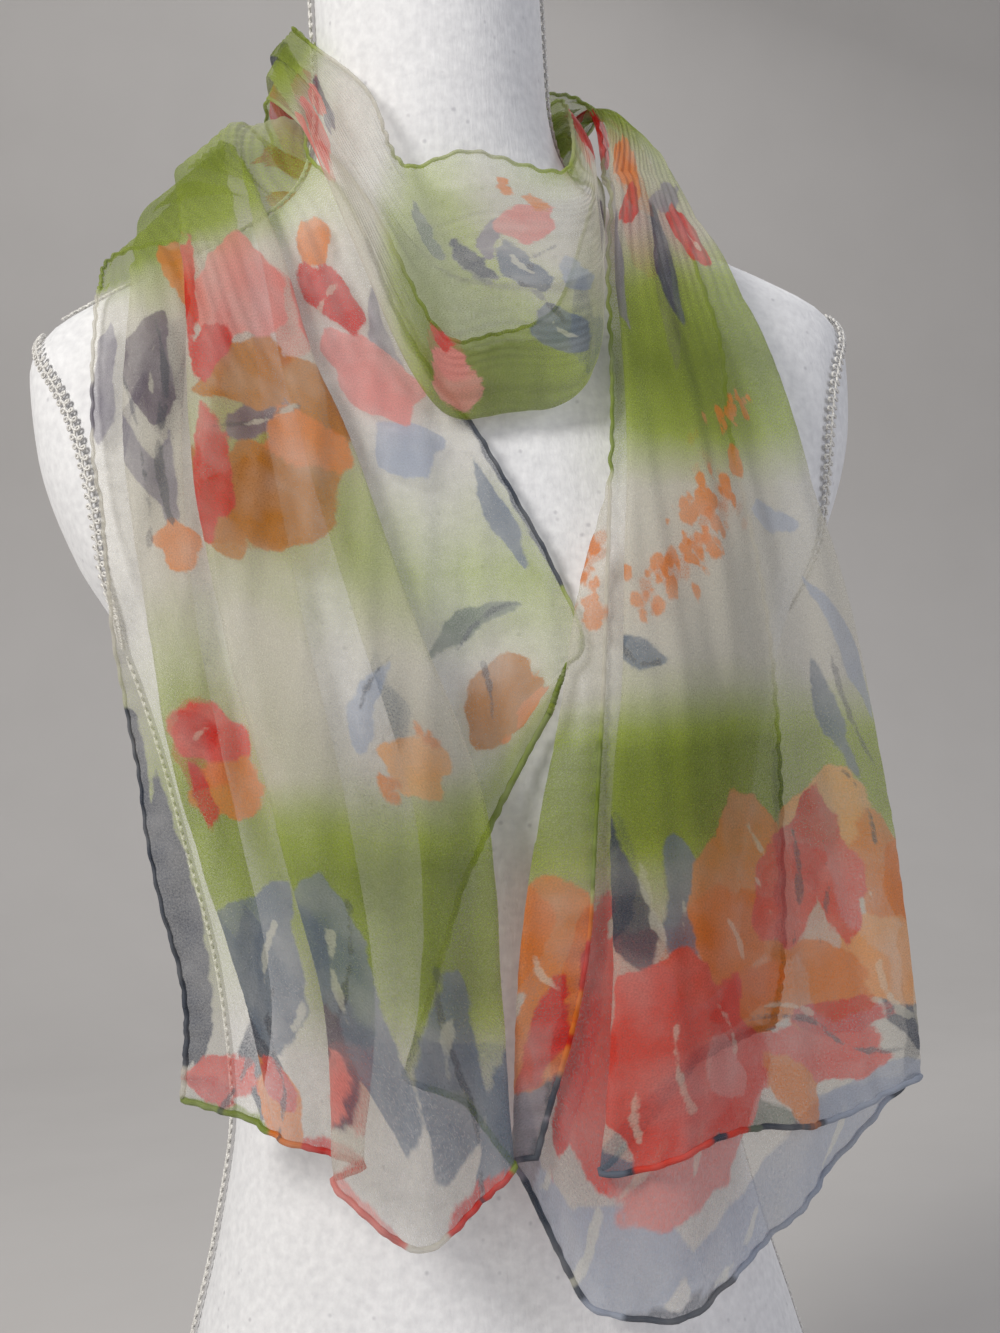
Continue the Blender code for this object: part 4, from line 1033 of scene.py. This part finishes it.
def chiffon(name, cover, dye_cover, depth, grain):
    """Silk chiffon: a sheer plain weave of twisted yarns, screen printed with washes of dye, so what lies
    behind shows through between the yarns, and the dye is stronger where layers or a rolled hem add up."""
    paint, tree = new_paint(name)
    place = add(tree, "ShaderNodeAttribute", attribute_name="place").outputs["Vector"]

    def field(word):
        return add(tree, "ShaderNodeAttribute", attribute_name=word)

    def noise(scale, detail):
        return add(tree, "ShaderNodeTexNoise", {"Vector": place, "Scale": scale, "Detail": detail}).outputs[0]

    def maths(operation, a, b, c=0.0):
        return add(tree, "ShaderNodeMath", {0: a, 1: b, 2: c}, operation=operation).outputs[0]

    # The wash runs a little at its edges: slow wobble of about 16 mm, and a fine one of 2.5 mm.
    wobble = maths("MULTIPLY_ADD", noise(62.0, 2.0), 0.009, -0.0045)
    wobble = maths("MULTIPLY_ADD", noise(420.0, 2.0), 0.0020, maths("SUBTRACT", wobble, 0.0010))
    cloud = noise(34.0, 4.0)
    speckle = noise(900.0, 1.0)

    def mask(word, soft):
        value = maths("ADD", field(word).outputs["Fac"], wobble)
        return add(
            tree, "ShaderNodeMapRange", {0: value, 1: -soft, 2: soft, 3: 0.0, 4: 1.0},
            interpolation_type="SMOOTHSTEP",
        ).outputs[0]

    band = maths("MULTIPLY_ADD", cloud, 0.34, maths("SUBTRACT", field("ground").outputs["Fac"], 0.17))
    band = maths("MULTIPLY_ADD", speckle, 0.20, maths("SUBTRACT", band, 0.10))
    base = add(tree, "ShaderNodeValToRGB", {0: band})
    stops = base.color_ramp.elements
    stops[0].position, stops[0].color = 0.18, linear(OFF_WHITE)
    stops[1].position, stops[1].color = 0.72, linear(GREEN)
    last = stops.new(1.0)
    last.color = linear(OLIVE)
    colour = base.outputs["Color"]
    dyed = maths("MULTIPLY", field("ground").outputs["Fac"], 0.45)
    for word, soft in (("leaf", 0.0010), ("petal", 0.0009), ("heart", 0.0008)):
        edge = mask(f"{word}_edge", soft)
        strength = maths("MULTIPLY_ADD", cloud, 1.1, 0.36)
        shade = add(
            tree, "ShaderNodeMix", {0: strength, 6: linear("#D8D6D2"), 7: field(f"{word}_dye").outputs["Color"]},
            data_type="RGBA", clamp_factor=True,
        ).outputs[2]
        colour = add(tree, "ShaderNodeMix", {0: edge, 6: colour, 7: shade}, data_type="RGBA").outputs[2]
        dyed = maths("MAXIMUM", dyed, edge)
    line = maths("MULTIPLY", mask("line_edge", 0.0007), 0.75)
    colour = add(tree, "ShaderNodeMix", {0: line, 6: colour, 7: linear("#4A505B")}, data_type="RGBA").outputs[2]
    light = maths("MULTIPLY", mask("light_edge", 0.0006), 0.55)
    colour = add(tree, "ShaderNodeMix", {0: light, 6: colour, 7: linear("#E6E3CF")}, data_type="RGBA").outputs[2]
    colour = add(
        tree, "ShaderNodeMix", {0: depth, 6: colour, 7: linear("#20262E")}, data_type="RGBA",
    ).outputs[2]

    # Crepe twist of the yarns, about 1 mm apart when it is drawn coarse enough to show.
    crepe = add(tree, "ShaderNodeTexNoise", {"Vector": place, "Scale": 1100.0, "Detail": 2.0}).outputs[0]
    alpha = maths("MULTIPLY_ADD", dyed, dye_cover, cover)
    alpha = maths("MULTIPLY_ADD", maths("SUBTRACT", crepe, 0.5), grain, alpha)
    bump = add(tree, "ShaderNodeBump", {"Height": crepe, "Strength": 0.25, "Distance": 0.0005})
    cloth = add(
        tree, "ShaderNodeBsdfPrincipled",
        {
            "Base Color": colour, "Roughness": 0.62, "Specular IOR Level": 0.25, "Sheen Weight": 0.15,
            "Sheen Roughness": 0.5, "Normal": bump.outputs[0],
        },
    )
    through = add(tree, "ShaderNodeBsdfTranslucent", {"Color": colour, "Normal": bump.outputs[0]})
    body = add(tree, "ShaderNodeMixShader", {0: 0.42, 1: cloth.outputs[0], 2: through.outputs[0]})
    open_weave = add(tree, "ShaderNodeBsdfTransparent")
    mixed = add(tree, "ShaderNodeMixShader", {0: alpha, 1: open_weave.outputs[0], 2: body.outputs[0]})
    add(tree, "ShaderNodeOutputMaterial", {"Surface": mixed.outputs[0]})
    return paint


def knit_cover():
    """White cotton jersey, stretched smooth over foam: matt, with fine upright ribs, a soft fuzz and a few
    darker slubs in the yarn."""
    paint, tree = new_paint("white_cotton_jersey")
    place = add(tree, "ShaderNodeTexCoord").outputs["Object"]
    upright = add(tree, "ShaderNodeMapping", {"Vector": place, "Scale": (1.0, 1.0, 0.22)}).outputs[0]
    ribs = add(tree, "ShaderNodeTexNoise", {"Vector": upright, "Scale": 620.0, "Detail": 2.0}).outputs[0]
    fuzz = add(tree, "ShaderNodeTexNoise", {"Vector": place, "Scale": 240.0, "Detail": 5.0}).outputs[0]
    slub = add(tree, "ShaderNodeTexVoronoi", {"Vector": place, "Scale": 95.0, "Randomness": 1.0}).outputs[0]
    fleck = add(tree, "ShaderNodeMapRange", {0: slub, 1: 0.04, 2: 0.13, 3: 0.55, 4: 0.0}).outputs[0]
    tone = add(tree, "ShaderNodeValToRGB", {0: fuzz})
    tone.color_ramp.elements[0].position = 0.25
    tone.color_ramp.elements[0].color = linear("#D3D3D6")
    tone.color_ramp.elements[1].position = 0.75
    tone.color_ramp.elements[1].color = linear("#E8E8EA")
    colour = add(
        tree, "ShaderNodeMix", {0: fleck, 6: tone.outputs[0], 7: linear("#A9A8AE")}, data_type="RGBA",
    ).outputs[2]
    height = add(tree, "ShaderNodeMath", {0: ribs, 1: fuzz}, operation="ADD").outputs[0]
    bump = add(tree, "ShaderNodeBump", {"Height": height, "Strength": 0.35, "Distance": 0.0006})
    cloth = add(
        tree, "ShaderNodeBsdfPrincipled",
        {
            "Base Color": colour, "Roughness": 0.88, "Specular IOR Level": 0.2, "Sheen Weight": 0.25,
            "Sheen Roughness": 0.6, "Normal": bump.outputs[0],
        },
    )
    add(tree, "ShaderNodeOutputMaterial", {"Surface": cloth.outputs[0]})
    return paint


def gimp_cord():
    """Rayon gimp: a silver-white yarn wound close round a core, so it has a soft lustre and fine turns."""
    paint, tree = new_paint("silver_white_rayon_gimp")
    place = add(tree, "ShaderNodeTexCoord").outputs["Object"]
    turns = add(tree, "ShaderNodeTexNoise", {"Vector": place, "Scale": 1400.0, "Detail": 1.0}).outputs[0]
    tone = add(tree, "ShaderNodeValToRGB", {0: turns})
    tone.color_ramp.elements[0].position = 0.35
    tone.color_ramp.elements[0].color = linear("#B9B6B2")
    tone.color_ramp.elements[1].position = 0.65
    tone.color_ramp.elements[1].color = linear("#E9E7E3")
    bump = add(tree, "ShaderNodeBump", {"Height": turns, "Strength": 0.3, "Distance": 0.0003})
    yarn = add(
        tree, "ShaderNodeBsdfPrincipled",
        {
            "Base Color": tone.outputs[0], "Roughness": 0.42, "Sheen Weight": 0.2,
            "Normal": bump.outputs[0],
        },
    )
    add(tree, "ShaderNodeOutputMaterial", {"Surface": yarn.outputs[0]})
    return paint


def plain_stage():
    """A plain pale matt sweep of paper."""
    paint, tree = new_paint("pale_paper_sweep")
    place = add(tree, "ShaderNodeTexCoord").outputs["Object"]
    grain = add(tree, "ShaderNodeTexNoise", {"Vector": place, "Scale": 9.0, "Detail": 3.0}).outputs[0]
    tone = add(tree, "ShaderNodeValToRGB", {0: grain})
    tone.color_ramp.elements[0].color = linear("#B4B1AF")
    tone.color_ramp.elements[1].color = linear("#BAB7B5")
    paper = add(tree, "ShaderNodeBsdfPrincipled", {"Base Color": tone.outputs[0], "Roughness": 0.95})
    add(tree, "ShaderNodeOutputMaterial", {"Surface": paper.outputs[0]})
    return paint


# ---------------------------------------------------------------- stage and light
def make_stage(paint):
    """A floor that sweeps up behind the form."""
    turn = np.radians(np.linspace(0, 90, 10))
    depth = np.concatenate([np.linspace(-3.0, 1.1, 4), 1.4 + 0.8 * np.sin(turn), [2.2]])
    height = np.concatenate([np.zeros(4), 0.8 - 0.8 * np.cos(turn), [3.4]]) - 0.0004
    wide = np.linspace(-3.2, 3.2, 9)
    rows = [[(x, y, z) for x in wide] for y, z in zip(depth, height)]
    sweep = net("paper_sweep", np.array(rows))
    sweep.data.materials.append(paint)


def make_light(name, place, target, size, watts, colour):
    data = bpy.data.lights.new(name, "AREA")
    data.shape = "DISK"
    data.size = size
    data.energy = watts
    data.color = linear(colour)[:3]
    light = bpy.data.objects.new(name, data)
    aim = unit(np.array(target) - np.array(place))
    side = unit(np.cross(aim, (0, 0, 1)))
    above = np.cross(side, aim)
    turned = Matrix.Identity(4)
    for row in range(3):
        turned[row][0], turned[row][1], turned[row][2] = side[row], above[row], -aim[row]
        turned[row][3] = place[row]
    light.matrix_world = turned
    bpy.context.scene.collection.objects.link(light)


def make_lights():
    make_light("key", (-1.7, -1.3, 1.9), (0, 0, 0.45), 0.9, 58.0, "#FFFCF6")
    make_light("fill", (1.9, -1.5, 1.2), (0, 0, 0.45), 1.6, 17.0, "#F2F5FF")
    make_light("back", (0.6, 1.5, 2.2), (0, 0, 0.55), 1.2, 18.0, "#FFFFFF")
    world = bpy.data.worlds.new("soft_room_light")
    world.use_nodes = True
    world.node_tree.nodes["Background"].inputs["Color"].default_value = linear("#DCDDE0")
    world.node_tree.nodes["Background"].inputs["Strength"].default_value = 0.36
    bpy.context.scene.world = world
    bpy.context.scene.view_settings.view_transform = "Standard"


def main():
    make_stage(plain_stage())
    make_form(knit_cover())
    make_trims(gimp_cord())
    cloth = make_cloth(
        chiffon("printed_silk_chiffon", GROUND_COVER, DYE_COVER, 0.0, 0.8),
        chiffon("rolled_chiffon_hem", 0.48, 0.30, 0.0, 0.1),
    )
    make_lights()


main()
